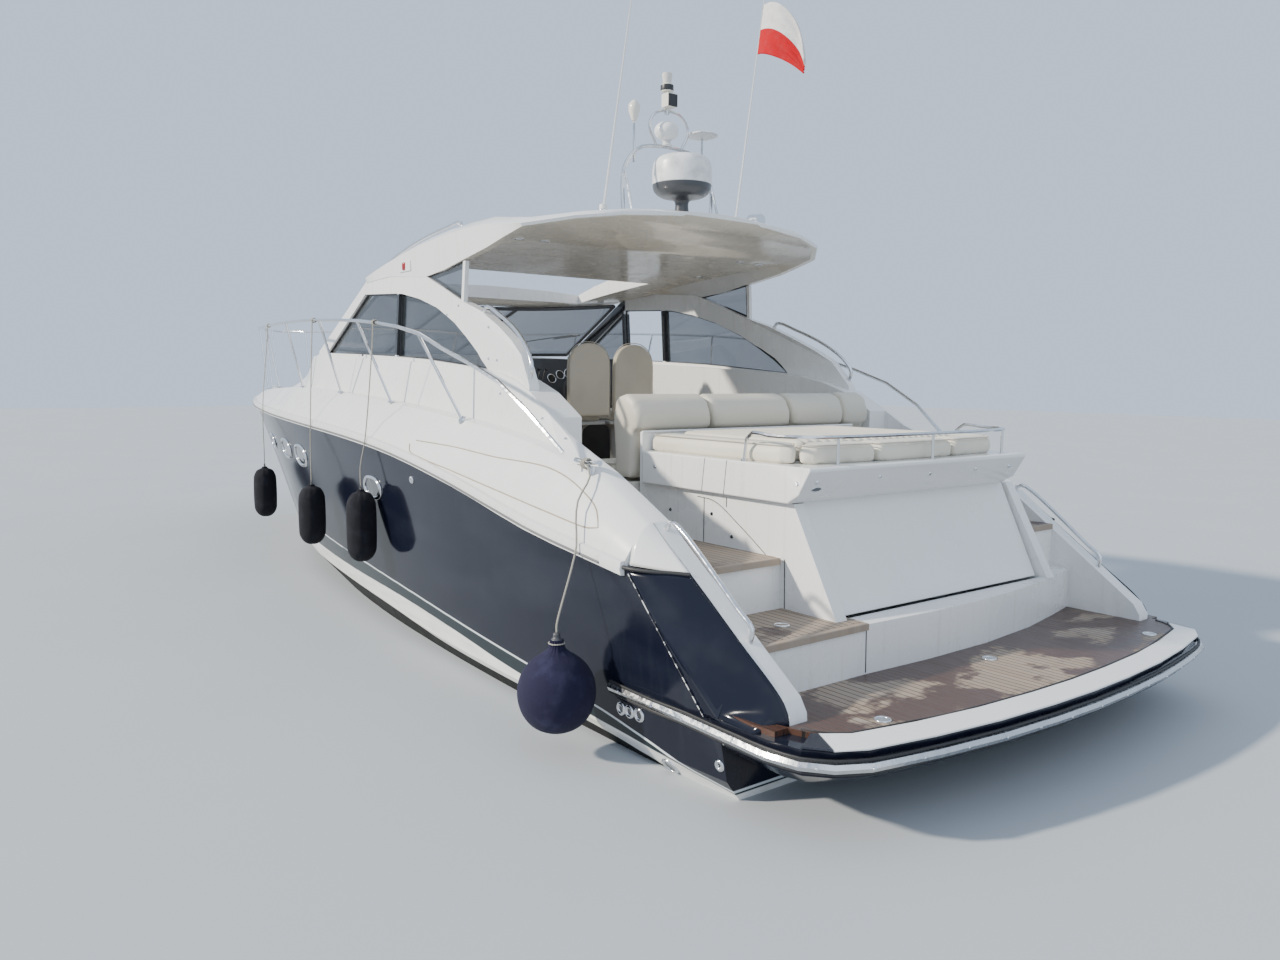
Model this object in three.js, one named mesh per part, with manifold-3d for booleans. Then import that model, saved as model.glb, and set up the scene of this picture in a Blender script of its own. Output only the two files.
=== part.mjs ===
// Motor yacht with a hardtop over an open cockpit, afloat, as a scene of separate named pieces.
// Millimetres: +X to the bow, +Y to port, +Z up, origin on the centreline at the waterline, midships.
import * as THREE from 'three';
import { mergeVertices } from 'three/addons/utils/BufferGeometryUtils.js';
import Module from 'manifold-3d';

const wasm = await Module();
wasm.setup();

// Driving sizes
const GAP = 0.3;
const SIDES = [['port', 1], ['starboard', -1]];
const GUNWALE_AFT_X = -5400;
const PLATFORM_TOP = 470;
const PLATFORM_BOTTOM = 230;
const PLATFORM_SURFACE = 500;
const WING_OUTER = 1820;
const WING_INNER = 1700;
const SOLE = 1100;
const LOWER_STEP = 790;
const SOLE_THICKNESS = 48;
const LINER_WALL = 25;
const BULKHEAD_X = -350;
const WELL_AFT_X = -4200;
const COAMING_TOP = 1670;
const PAD_TOP = 1800;
const HATCH_HINGE_X = -4300;
const ROOF_RADIUS = 15100;
const ROOF_PEAK_X = -3400;
const ROOF_PEAK_Z = 3450;
const STATION_STEP = 380;
const PROP_Y = 650;
const PROP_X = -5500;
const PROP_Z = -860;
const SHAFT_SLOPE = Math.tan(THREE.MathUtils.degToRad(12));
const SHAFT_RADIUS = 24;
const STOCK_RADIUS = 30;
const RUNNING_GAP = 0.5;
const RUDDER_X = -5800;

// Colours, roughness and metalness of the finishes
const FINISH = {
  gelcoat: [0xf2f1ec, 0.3, 0],
  navy: [0x0c1020, 0.18, 0],
  steel: [0xc9ccd0, 0.2, 1],
  teak: [0x8a7460, 0.8, 0],
  glass: [0x39454d, 0.08, 0],
  black: [0x111214, 0.5, 0],
  vinyl: [0xe2dac4, 0.6, 0],
  bronze: [0x9a7a45, 0.35, 1],
  grey: [0x70757a, 0.5, 0],
  rope: [0xb9b39f, 0.9, 0],
  fender: [0x14152e, 0.8, 0],
  red: [0xc01c28, 0.8, 0],
};

const yacht = new THREE.Group();
yacht.name = 'motor_yacht';

// Signed volume tells which way a closed geometry faces
function signedVolume(geometry) {
  const p = geometry.attributes.position;
  const index = geometry.index.array;
  const [a, b, c] = [new THREE.Vector3(), new THREE.Vector3(), new THREE.Vector3()];
  let sum = 0;
  for (let i = 0; i < index.length; i += 3) {
    a.fromBufferAttribute(p, index[i]);
    b.fromBufferAttribute(p, index[i + 1]);
    c.fromBufferAttribute(p, index[i + 2]);
    sum += a.dot(b.cross(c));
  }
  return sum / 6;
}

// A closed three.js geometry as a solid that can be joined and cut
function solid(source) {
  const bare = source.clone();
  bare.deleteAttribute('normal');
  bare.deleteAttribute('uv');
  const merged = mergeVertices(bare, 0.001);
  const triVerts = new Uint32Array(merged.index.array);
  if (signedVolume(merged) < 0) {
    for (let i = 0; i < triVerts.length; i += 3) {
      [triVerts[i], triVerts[i + 1]] = [triVerts[i + 1], triVerts[i]];
    }
  }
  const vertProperties = new Float32Array(merged.attributes.position.array);
  return new wasm.Manifold(new wasm.Mesh({ numProp: 3, vertProperties, triVerts }));
}

// The solid back as a three.js geometry
function geometryOf(body) {
  const mesh = body.getMesh();
  const geometry = new THREE.BufferGeometry();
  geometry.setAttribute('position', new THREE.BufferAttribute(new Float32Array(mesh.vertProperties), 3));
  geometry.setIndex(new THREE.BufferAttribute(new Uint32Array(mesh.triVerts), 1));
  geometry.computeVertexNormals();
  return geometry;
}

// One named piece of the yacht
function piece(name, body, finish) {
  const [color, roughness, metalness] = FINISH[finish];
  const material = new THREE.MeshStandardMaterial({ color, roughness, metalness });
  if (finish === 'glass') {
    material.transparent = true;
    material.opacity = 0.4;
  }
  const mesh = new THREE.Mesh(geometryOf(body), material);
  mesh.name = name;
  yacht.add(mesh);
  return body;
}

const join = (...bodies) => bodies.reduce((sum, body) => sum.add(body));
const cut = (body, ...tools) => tools.reduce((rest, tool) => rest.subtract(tool), body);

// A body cut back from its neighbours, with the gap that touching pieces keep
const SHIFTS = [[GAP, 0, 0], [-GAP, 0, 0], [0, GAP, 0], [0, -GAP, 0], [0, 0, GAP], [0, 0, -GAP]];
const moved = (body, shift) => solid(geometryOf(body).translate(...shift));
const fitted = (body, ...neighbours) => cut(body, ...neighbours.flatMap(
  (neighbour) => SHIFTS.map((shift) => moved(neighbour, shift)),
));

// The area of a flat outline, positive when it runs anticlockwise
function signedArea(points) {
  return points.reduce((sum, p, i) => {
    const q = points[(i + 1) % points.length];
    return sum + (p.x * q.y - q.x * p.y) / 2;
  }, 0);
}

// The triangles that close the end of a loft, in the order of its ring
function capFaces(ring) {
  const normal = [0, 0, 0];
  ring.forEach((p, i) => {
    const q = ring[(i + 1) % ring.length];
    normal[0] += (p[1] - q[1]) * (p[2] + q[2]);
    normal[1] += (p[2] - q[2]) * (p[0] + q[0]);
    normal[2] += (p[0] - q[0]) * (p[1] + q[1]);
  });
  const drop = normal.map(Math.abs).indexOf(Math.max(...normal.map(Math.abs)));
  const flat = ring.map((p) => new THREE.Vector2(...p.filter((_, axis) => axis !== drop)));
  const turn = Math.sign(signedArea(flat));
  return THREE.ShapeUtils.triangulateShape(flat, []).map((face) => {
    const same = Math.sign(signedArea(face.map((i) => flat[i]))) === turn;
    return same ? face : [...face].reverse();
  });
}

// A closed body through rings of [x, y, z] that all have as many points. The sides named in
// crossed are split the other way, which keeps the two faces of a thin twisted sheet apart.
function loft(rings, crossed = []) {
  const count = rings[0].length;
  const index = [];
  for (let r = 0; r < rings.length - 1; r += 1) {
    for (let i = 0; i < count; i += 1) {
      const j = (i + 1) % count;
      const [a, b] = [r * count + i, r * count + j];
      if (crossed.includes(i)) index.push(a, b, a + count, b, b + count, a + count);
      else index.push(a, b, b + count, a, b + count, a + count);
    }
  }
  const last = (rings.length - 1) * count;
  capFaces(rings[0]).forEach(([a, b, c]) => index.push(c, b, a));
  capFaces(rings.at(-1)).forEach(([a, b, c]) => index.push(last + a, last + b, last + c));
  const geometry = new THREE.BufferGeometry();
  geometry.setAttribute('position', new THREE.Float32BufferAttribute(rings.flat(2), 3));
  geometry.setIndex(index);
  return solid(geometry);
}

// An outline between two planes square to an axis
const PLACE = {
  x: (p, d) => [d, p[0], p[1]],
  y: (p, d) => [p[0], d, p[1]],
  z: (p, d) => [p[0], p[1], d],
};
function prism(axis, outline, low, high) {
  return loft([outline.map((p) => PLACE[axis](p, low)), outline.map((p) => PLACE[axis](p, high))]);
}

function block([x0, x1], [y0, y1], [z0, z1]) {
  return prism('x', [[y0, z0], [y1, z0], [y1, z1], [y0, z1]], x0, x1);
}

// A straight round bar, or a taper, between two points
function rod(from, to, radius, sides = 8, endRadius = radius) {
  const [a, b] = [new THREE.Vector3(...from), new THREE.Vector3(...to)];
  const bar = new THREE.CylinderGeometry(endRadius, radius, a.distanceTo(b), sides);
  const turn = new THREE.Quaternion().setFromUnitVectors(
    new THREE.Vector3(0, 1, 0),
    b.clone().sub(a).normalize(),
  );
  bar.applyQuaternion(turn);
  bar.translate(...a.add(b).multiplyScalar(0.5).toArray());
  return solid(bar);
}

// A bent tube through a few points
function pipe(points, radius, steps, sides = 8) {
  const corners = Array.from({ length: sides }, (_, i) => {
    const angle = (2 * Math.PI * i) / sides;
    return new THREE.Vector2(radius * Math.cos(angle), radius * Math.sin(angle));
  });
  const path = new THREE.CatmullRomCurve3(points.map((p) => new THREE.Vector3(...p)), false, 'centripetal');
  const options = { steps, extrudePath: path, bevelEnabled: false };
  return solid(new THREE.ExtrudeGeometry(new THREE.Shape(corners), options));
}

// A turned body: a profile of [radius, height] about an upright axis through a point
function turned(profile, [x, y, z], segments = 16) {
  const shape = new THREE.LatheGeometry(profile.map((p) => new THREE.Vector2(...p)), segments);
  shape.rotateX(Math.PI / 2);
  shape.translate(x, y, z);
  return solid(shape);
}

// A row of a table at any x, between the two rows that hold it
function rowAt(table, x) {
  const next = Math.min(Math.max(table.findIndex((row) => row[0] >= x), 1), table.length - 1);
  const [low, high] = [table[next - 1], table[next]];
  const share = (x - low[0]) / (high[0] - low[0]);
  return low.map((value, i) => value + share * (high[i] - value));
}

// The slopes of a column of a table, levelled at its peaks so that a fair curve never overshoots
function slopes(table, column) {
  const steps = table.slice(1).map((row, i) => (row[column] - table[i][column]) / (row[0] - table[i][0]));
  return table.map((_, i) => {
    if (i === 0 || i === steps.length) return steps[Math.min(i, steps.length - 1)];
    const [before, after] = [steps[i - 1], steps[i]];
    return before * after > 0 ? (2 * before * after) / (before + after) : 0;
  });
}

// A table with fair rows put in between, so that a loft through it has no flat lengths
function faired(table, step) {
  const columns = table[0].map((_, column) => slopes(table, column));
  const between = table.slice(1).flatMap((high, i) => {
    const low = table[i];
    const length = high[0] - low[0];
    const count = Math.max(1, Math.ceil(length / step));
    return Array.from({ length: count }, (_, k) => {
      const t = (k + 1) / count;
      return low.map((value, column) => {
        if (column === 0) return low[0] + length * t;
        const [leaving, arriving] = [columns[column][i], columns[column][i + 1]];
        const level = value * (2 * t ** 3 - 3 * t ** 2 + 1) + high[column] * (3 * t ** 2 - 2 * t ** 3);
        return level + length * (leaving * (t ** 3 - 2 * t ** 2 + t) + arriving * (t ** 3 - t ** 2));
      });
    });
  });
  return [table[0], ...between];
}

const mirrored = (half) => [...half, ...half.map(([y, z]) => [-y, z]).reverse()];

// Hull sections: x, half-breadth and height of the gunwale, of the side above the water and of
// the chine, the keel's height, and the inner top edge's half-breadth and height
const HULL_ROWS = [
  [-6150, 1985, 470, 1915, 120, 1780, -60, -560, 1821, 820],
  [-5900, 2000, 680, 1935, 120, 1800, -70, -590, 1821, 1005],
  [-5640, 2012, 895, 1945, 120, 1808, -75, -606, 1821, 1190],
  [-5400, 2020, 1120, 1950, 120, 1815, -80, -620, 1821, 1121],
  [-4400, 2050, 1250, 1945, 130, 1810, -90, -680, 1821, 1251],
  [-3400, 2050, 1430, 1930, 140, 1780, -90, -720, 1821, 1431],
  [-2000, 2050, 1610, 1860, 160, 1700, -80, -750, 1821, 1611],
  [-500, 2023, 1700, 1740, 190, 1560, -40, -760, 1800, 1701],
  [1000, 1907, 1750, 1560, 250, 1340, 30, -740, 1700, 1751],
  [2500, 1672, 1790, 1240, 380, 1020, 150, -660, 1450, 1791],
  [3700, 1383, 1815, 880, 560, 700, 300, -500, 1180, 1816],
  [4700, 1067, 1830, 560, 760, 430, 470, -230, 880, 1831],
  [5500, 761, 1835, 330, 960, 240, 660, 150, 600, 1836],
  [6200, 454, 1830, 170, 1180, 120, 880, 620, 330, 1831],
  [6700, 210, 1820, 80, 1400, 60, 1150, 1050, 120, 1821],
  [7050, 60, 1810, 35, 1600, 25, 1480, 1420, 30, 1811],
  [7100, 24, 1806, 16, 1700, 12, 1660, 1640, 12, 1807],
];
const SHEER_START = HULL_ROWS.findIndex(([x]) => x === GUNWALE_AFT_X);
const HULL = [
  ...faired(HULL_ROWS.slice(0, SHEER_START), STATION_STEP),
  ...faired(HULL_ROWS.slice(SHEER_START), STATION_STEP),
];
const gunwale = (x) => rowAt(HULL, x);
const sideBreadth = (x, z) => {
  const [, yTop, zTop, yLow, zLow] = gunwale(x);
  return yLow + ((yTop - yLow) * (z - zLow)) / (zTop - zLow);
};

// Plan of the bathing platform's port half, from the hull's side round to the centreline
const PLATFORM = [
  [-6100, 1985], [-6500, 1985], [-6680, 1945], [-6800, 1850], [-6880, 1700],
  [-6960, 1300], [-7020, 850], [-7050, 400], [-7060, 0],
];
const bothSides = (half) => [...half, ...half.slice(0, -1).map(([x, y]) => [x, -y]).reverse()];
const platformPlan = (inset) => bothSides(PLATFORM.map(([x, y], i) => {
  const inwards = inset * Math.min(i, 3) / 3;
  return [x + inwards, Math.max(y - inset, 0)];
}));

// Hull: the decked bottom and topsides, with the bays and the running gear's bosses
function hullBody() {
  const rings = HULL.map(([x, yG, zG, yS, zS, yC, zC, zK, yT, zT]) => mirrored([
    [0.01, zK], [yC, zC], [yS, zS], [yG, zG], [yT, zT],
    [yT - 1, x < GUNWALE_AFT_X ? PLATFORM_TOP : zT],
  ]).map(([y, z]) => [x, y, z]));
  const platform = loft([[PLATFORM_BOTTOM, 170], [330, 30], [PLATFORM_TOP, 0]].map(
    ([z, inset]) => platformPlan(inset).map(([x, y]) => [x, y, z]),
  ));
  let body = join(loft(rings), platform);
  for (const [, side] of SIDES) {
    const y = side * PROP_Y;
    const logEnd = -3480;
    const logStart = -4150;
    const axisZ = (x) => PROP_Z + (x - PROP_X) * SHAFT_SLOPE;
    const bracketX = PROP_X + 260;
    const at = (x) => [x, y, axisZ(x)];
    const boss = rod(at(bracketX - 90), at(bracketX + 90), 48, 12);
    const log = rod(at(logStart), at(logEnd), 60, 12);
    const arms = [-1, 1].map((lean) => loft([[0, 0], [lean * 260, 520]].map(([dy, dz]) => [
      [bracketX - 70, -9], [bracketX + 70, -9], [bracketX + 70, 9], [bracketX - 70, 9],
    ].map(([x, t]) => [x, y + dy + t, axisZ(bracketX) + dz]))));
    const bore = rod(at(bracketX - 200), at(bracketX + 200), SHAFT_RADIUS + RUNNING_GAP, 32);
    const logBore = rod(at(logStart - 60), at(logEnd - 60), SHAFT_RADIUS + RUNNING_GAP, 32);
    const port = turned([[0, -480], [70, -480], [70, -300], [0, -300]], [RUDDER_X, y, 0], 12);
    const holeRadius = STOCK_RADIUS + RUNNING_GAP;
    const stockHole = turned([[0, -700], [holeRadius, -700], [holeRadius, -330], [0, -330]], [RUDDER_X, y, 0], 32);
    body = cut(join(body, boss, log, ...arms, port), bore, logBore, stockHole);
  }
  const stepWell = block([-6400, WELL_AFT_X], [-WING_OUTER, WING_OUTER], [PLATFORM_TOP, 3000]);
  const cockpitWell = block([WELL_AFT_X - 1, BULKHEAD_X], [-1520, 1520], [SOLE - SOLE_THICKNESS, 3000]);
  const engineBay = block([-3900, -1500], [-1050, 1050], [-250, 2000]);
  const lobby = block([BULKHEAD_X - 1, 700], [60, 580], [300, 3000]);
  return cut(body, stepWell, cockpitWell, engineBay, lobby);
}
const hull = piece('hull', hullBody(), 'navy');

// White gunwale moulding all round the sheer, one loop from quarter to quarter
function strakeBody() {
  const port = HULL.filter(([x]) => x >= GUNWALE_AFT_X).map(([x, y, z]) => ({
    p: [x, y, z], n: x > 7000 ? [0.75, 0.66] : [0.12, 0.99],
  }));
  const starboard = port.map(({ p, n }) => ({ p: [p[0], -p[1], p[2]], n: [n[0], -n[1]] })).reverse();
  const section = [[1, -38], [26, -34], [34, 0], [26, 42], [1, 46]];
  return loft([...port, ...starboard].map(({ p, n }) => section.map(
    ([out, up]) => [p[0] + n[0] * out, p[1] + n[1] * out, p[2] + up],
  )));
}
piece('gunwale_strake', strakeBody(), 'gelcoat');

// Steel-capped rubbing strake low on the quarters and round the platform
function rubRailBody() {
  const level = 400;
  const along = [-5230, -5400, -5640, -5900, -6110].map((x) => ({ p: [x, sideBreadth(x, level + 26)], n: [0, 1] }));
  const round = PLATFORM.slice(1).map(([x, y], i, all) => {
    const [before, after] = [all[Math.max(i - 1, 0)], all[Math.min(i + 1, all.length - 1)]];
    const [dx, dy] = [after[0] - before[0], after[1] - before[1]];
    const size = Math.hypot(dx, dy);
    return { p: [x, y], n: i === all.length - 1 ? [-1, 0] : [dy / size, -dx / size] };
  });
  const port = [...along, ...round];
  const starboard = port.slice(0, -1).map(({ p, n }) => ({ p: [p[0], -p[1]], n: [n[0], -n[1]] })).reverse();
  const section = [[-12, -26], [30, -22], [42, 0], [30, 22], [-12, 26]];
  return loft([...port, ...starboard].map(({ p, n }) => section.map(
    ([out, up]) => [p[0] + n[0] * out, p[1] + n[1] * out, level + up],
  )));
}
piece('rub_rail', fitted(rubRailBody(), hull), 'steel');

// White rim of the bathing platform, mitred at the quarters
const RIM_WIDTH = 140;
const rimOuter = bothSides(PLATFORM.slice(2));
const rimInner = bothSides(PLATFORM.slice(2).map(([x, y], i, all) => [
  x + (i === 0 ? 60 : RIM_WIDTH), i === all.length - 1 ? 0 : Math.max(y - [130, 75, 40, 20, 10, 5, 0][i], 0),
]));
piece('platform_rim', loft(rimOuter.map((outer, i) => {
  const inner = rimInner[i];
  return [
    [...inner, PLATFORM_TOP + GAP], [...outer, PLATFORM_TOP + GAP],
    [...outer, PLATFORM_TOP + 12], [...inner, PLATFORM_SURFACE + 6],
  ];
})), 'gelcoat');

// Teak deck of the bathing platform, inside the rim and round the transom's foot
const TRANSOM_FOOT = [
  [-6160, 1699], [-6160, 850], [-6185, 300], [-6180, -300], [-6120, -900], [-6030, -1350], [-5950, -1699],
];
piece('platform_teak', prism('z', [
  [-6494, 1850], ...rimInner.map(([x, y], i) => {
    const toward = i === 0 || i === rimInner.length - 1 ? 25 : 2;
    return [x + toward, y];
  }), [-6494, -1850], [-6494, -1697], [-5952, -1697],
  ...TRANSOM_FOOT.slice(1, -1).map(([x, y]) => [x - 2, y]).reverse(), [-6162, 1697], [-6494, 1697],
], PLATFORM_TOP + GAP, PLATFORM_SURFACE), 'teak');

// Cockpit and transom moulding: sole, walls, steps, garage tub and the sloping wings
const WELL_PLAN = [[WELL_AFT_X - 30, 1500], [BULKHEAD_X - 1, 1400]];
function cockpitBody() {
  const low = PLATFORM_TOP + GAP;
  const soleLow = SOLE - SOLE_THICKNESS + GAP;
  const outer = bothWalls(WELL_PLAN, -GAP);
  const inner = bothWalls(WELL_PLAN, -LINER_WALL);
  const tub = cut(
    prism('z', outer, soleLow, 1560),
    prism('z', inner, SOLE, 2000),
    block([BULKHEAD_X - 60, 0], [40, 600], [SOLE, 2500]),
    block([WELL_AFT_X - 100, WELL_AFT_X + 100], [-1480, 1480], [SOLE, 2500]),
  );
  const aft = WELL_AFT_X - GAP;
  const base = prism('z', [...TRANSOM_FOOT, [aft, -1699], [aft, 1699]], low, LOWER_STEP);
  const landing = block([-5600, aft], [850, 1699], [LOWER_STEP - 1, SOLE]);
  const ledge = block([-5800, aft], [-1699, -1250], [LOWER_STEP - 1, SOLE]);
  const plinth = prism('y', [
    [-6060, LOWER_STEP - 1], [-6060, LOWER_STEP], [-5700, 1440], [aft, 1440], [aft, LOWER_STEP - 1],
  ], -1300, 1000);
  const garage = block([-6000, HATCH_HINGE_X - 60], [-1210, 910], [560, 3000]);
  const padWall = block([HATCH_HINGE_X + 8, HATCH_HINGE_X + 32], [-1160, 1050], [1439, PAD_TOP]);
  const hingeBar = rod([HATCH_HINGE_X + 10, -1160, PAD_TOP], [HATCH_HINGE_X + 10, 1050, PAD_TOP], 9.5, 12);
  const panelSeat = block([-7000, -5600], [-1210, 910], [LOWER_STEP, 3000]);
  const wings = SIDES.map(([, side]) => {
    const [a, b] = [side * (WING_INNER - 2), side * (WING_OUTER - GAP)];
    const outline = [[-5402, low], [-5402, 1362], [-6440, 612], [-6485, 540], [-6490, low]];
    return prism('y', outline, Math.min(a, b), Math.max(a, b));
  });
  const upper = cut(join(base, landing, ledge, plinth), garage, panelSeat);
  const rails = SIDES.map(([, side]) => {
    const y = side * (WING_INNER + 60);
    const run = [[-5480, 1250], [-5450, 1345], [-5500, 1370], [-6060, 970], [-6150, 900], [-6130, 790]];
    return pipe(run.map(([x, z]) => [x, y, z]), 13, 16, 6);
  });
  return join(upper, tub, padWall, hingeBar, ...wings, ...rails);
}
function bothWalls(plan, offset) {
  const port = plan.map(([x, y], i) => [x + (i === 0 ? 0 : offset), y + offset]);
  return [...port, ...port.map(([x, y]) => [x, -y]).reverse()];
}
const cockpit = piece('cockpit_moulding', fitted(cockpitBody(), hull), 'gelcoat');

// Deck moulding sections: x, then breadth and height of the shoulder, the rail's foot, the side
// deck's inner edge and the window sill, and the crown on the centreline
const DECK = faired([
  [-5400, 1955, 1260, 1880, 1345, 1840, 1362, 1705, 1362, 1362],
  [-4900, 1985, 1400, 1860, 1560, 1810, 1590, 1720, 1600, 1600],
  [-4400, 1985, 1490, 1850, 1690, 1800, 1715, 1730, 1790, 1790],
  [-3900, 1980, 1560, 1840, 1770, 1780, 1790, 1720, 2070, 2070],
  [-3400, 1975, 1630, 1830, 1825, 1750, 1840, 1680, 2200, 2200],
  [-2000, 1965, 1790, 1825, 1935, 1720, 1945, 1630, 2290, 2290],
  [-500, 1930, 1880, 1800, 2012, 1710, 2018, 1625, 2350, 2350],
  [600, 1850, 1910, 1730, 2045, 1650, 2045, 1600, 2392, 2430],
  [1800, 1690, 1925, 1580, 2030, 1450, 2030, 1260, 2260, 2425],
  [3000, 1460, 1935, 1380, 2000, 1180, 2000, 900, 2120, 2260],
  [4200, 1150, 1940, 1070, 1975, 880, 1975, 620, 2020, 2090],
  [5400, 720, 1930, 640, 1950, 480, 1950, 300, 1960, 1985],
  [6400, 300, 1905, 250, 1920, 150, 1920, 80, 1925, 1935],
  [7000, 62, 1870, 50, 1885, 36, 1885, 20, 1887, 1892],
], STATION_STEP);
const deckTop = (x) => rowAt(DECK, x)[9];
// Mooring cleats on the deck edge: x, breadth and height of the foot
const CLEATS = [[-4780, 1845, 1600], [5700, 520, 1935]];

// Deck moulding: bulwarks, side decks, coachroof and foredeck, open over the cockpit and the lobby
function deckBody() {
  const stations = [...new Set([...DECK, ...HULL].map(([x]) => x))]
    .filter((x) => x >= GUNWALE_AFT_X && x <= 7000).sort((a, b) => a - b);
  const rings = stations.map((x) => {
    const [, yG, zG] = gunwale(x);
    const [, yS, zS, yR, zR, yD, zD, yW, zW, zC] = rowAt(DECK, x);
    const base = Math.max(zG, gunwale(x)[9]) + GAP;
    return mirrored([
      [yG * 0.4, base], [yG, base], [yG - 4, base + 50], [yS, zS], [yR, zR], [yD, zD], [yW, zW], [yW * 0.35, zC],
    ]).map(([y, z]) => [x, y, z]);
  });
  const well = prism('z', bothWalls(WELL_PLAN, 0), SOLE - SOLE_THICKNESS, 3000);
  const passage = block([-5500, WELL_AFT_X + 1], [-1702, 1702], [PLATFORM_TOP, 3000]);
  const lobby = block([BULKHEAD_X - 1, 700], [60, 580], [300, 2160]);
  const cleats = SIDES.flatMap(([, side]) => CLEATS.map(([x, y, z]) => join(
    block([x - 130, x + 130], [side * y - 14, side * y + 14], [z + 45, z + 72]),
    block([x - 45, x + 45], [side * y - 13, side * y + 13], [z - 60, z + 46]),
  )));
  return join(cut(loft(rings), well, passage, lobby), ...cleats);
}
const deck = piece('deck_moulding', deckBody(), 'gelcoat');

// Hardtop: an arc from the windscreen header to the aft lip, crowned across
const roofTop = (x) => ROOF_PEAK_Z - (x - ROOF_PEAK_X) ** 2 / (2 * ROOF_RADIUS);
// Hardtop sections: x, half-breadth of the top's edge and of the lower edge, drop of the top's edge,
// height of the lower edge and of the underside
const ROOF = faired([
  [-3930, 420, 480, 26, 3385, 3405],
  [-3880, 860, 920, 42, 3350, 3375],
  [-3760, 1190, 1255, 82, 3305, 3328],
  [-3480, 1455, 1535, 122, 3255, 3282],
  [-3010, 1490, 1566, 62, 3150, 3235],
  [-2640, 1490, 1566, 48, 3095, 3215],
  [-1930, 1490, 1566, 32, 3010, 3165],
  [-1200, 1490, 1566, 35, 3068, 3105],
  [-650, 1490, 1566, 42, 3048, 3050],
  [-400, 1370, 1430, 55, 3005, 3020],
  [-200, 1170, 1215, 60, 2975, 2990],
  [-60, 880, 920, 58, 2955, 2970],
  [0, 470, 500, 46, 2945, 2955],
], STATION_STEP);
const SUNROOF = { aft: -1640, fore: -340, half: 1040, thick: 36, stowed: -3120, length: 1440 };
function roofArc(x0, x1, half, top, thick) {
  const spread = [-1, -0.5, 0, 0.5, 1];
  const steps = Math.max(2, Math.round((x1 - x0) / 350));
  return loft(Array.from({ length: steps + 1 }, (_, i) => {
    const x = x0 + ((x1 - x0) * i) / steps;
    const crown = (t) => roofTop(x) - top - 30 * t * t;
    return [
      ...spread.map((t) => [x, t * half, crown(t)]),
      ...[...spread].reverse().map((t) => [x, t * half, crown(t) - thick]),
    ];
  }));
}
function hardtopBody() {
  const rings = ROOF.map(([x, yT, yL, drop, zL, zU]) => mirrored([
    [yT * 0.3, zU], [yL - 110, zU - 2], [yL - 60, zL], [yL, zL],
    [yL + 12, Math.max(zL + 20, roofTop(x) - drop - 60)],
    [yT, roofTop(x) - drop], [yT * 0.55, roofTop(x) - drop * 0.3], [yT * 0.1, roofTop(x)],
  ]).map(([y, z]) => [x, y, z]));
  const opening = block([SUNROOF.aft, SUNROOF.fore], [-SUNROOF.half - 12, SUNROOF.half + 12], [2500, 4000]);
  const pocket = roofArc(-3360, SUNROOF.aft + 5, SUNROOF.half + 12, 48, SUNROOF.thick + 40);
  const rails = SIDES.map(([, side]) => {
    const run = [[-520, -8], [-500, 70], [-620, 118], [-1240, 148], [-1900, 138], [-2130, 122], [-2200, -8]];
    return pipe(run.map(([x, up]) => [x, side * 1330, roofTop(x) - 62 + up]), 13, 18, 6);
  });
  return join(cut(loft(rings), opening, pocket), ...rails);
}
const hardtop = piece('hardtop', hardtopBody(), 'gelcoat');
const panel = roofArc(SUNROOF.stowed, SUNROOF.stowed + SUNROOF.length, SUNROOF.half, 66, SUNROOF.thick);
const runners = SIDES.flatMap(([, side]) => [150, SUNROOF.length - 250].map((along) => {
  const x = SUNROOF.stowed + along;
  const ends = [side * (SUNROOF.half - 10), side * (SUNROOF.half + 11.5)].sort((p, q) => p - q);
  return block([x, x + 100], ends, [roofTop(x + 100) - 122, roofTop(x) - 106]);
}));
piece('sunroof_panel', join(panel, ...runners), 'gelcoat');

// The superstructure's sides lean inwards from the window sill to the roof, and flare out aft
const LEAN = 0.06;
const SILL_Z = 2250;
const ARCH_OUTER = 1610;
const ARCH_THICKNESS = 80;
const FLARE = { start: -3000, length: 830, out: 80 };
const offsetAt = (x, z) => FLARE.out * (Math.max(0, FLARE.start - x) / FLARE.length) ** 1.5 - LEAN * (z - SILL_Z);
function leaning(outline, side, outer, thickness) {
  const faces = [outer - thickness, outer].map((y) => outline.map(([x, z]) => [x, side * (y + offsetAt(x, z)), z]));
  return loft(faces);
}

// Side arch outline in x, z: up the windscreen side, along the roof, down the curved aft leg
const ARCH = [
  [600, 2425], [-650, 3075], [-1200, 3090], [-1900, 3030], [-2300, 2890], [-2640, 2765], [-2930, 2680],
  [-3250, 2550], [-3490, 2440], [-3680, 2330], [-3850, 2120], [-3870, 2000], [-3400, 2160], [-2000, 2265],
  [-500, 2325], [600, 2370],
];
const PANES = {
  fore: [[360, 2405], [-610, 2945], [-1360, 2907], [-1360, 2348], [-500, 2380]],
  aft: [[-1400, 2904], [-1470, 2897], [-1830, 2832], [-2170, 2742], [-2530, 2604], [-2780, 2475],
    [-2980, 2362], [-3150, 2232], [-2000, 2318], [-1400, 2346]],
};
const STARBOARD_PANES = {
  fore: [[340, 2405], [-580, 2902], [-580, 2377]],
  gap: [[-620, 2930], [-640, 2940], [-1300, 2910], [-1300, 2351], [-620, 2375]],
  aft: [[-1340, 2906], [-1470, 2897], [-1830, 2832], [-2170, 2742], [-2530, 2604], [-2780, 2475],
    [-2980, 2362], [-3150, 2232], [-2000, 2318], [-1340, 2349]],
};
const panesOf = (word) => (word === 'port' ? PANES : STARBOARD_PANES);

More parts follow.
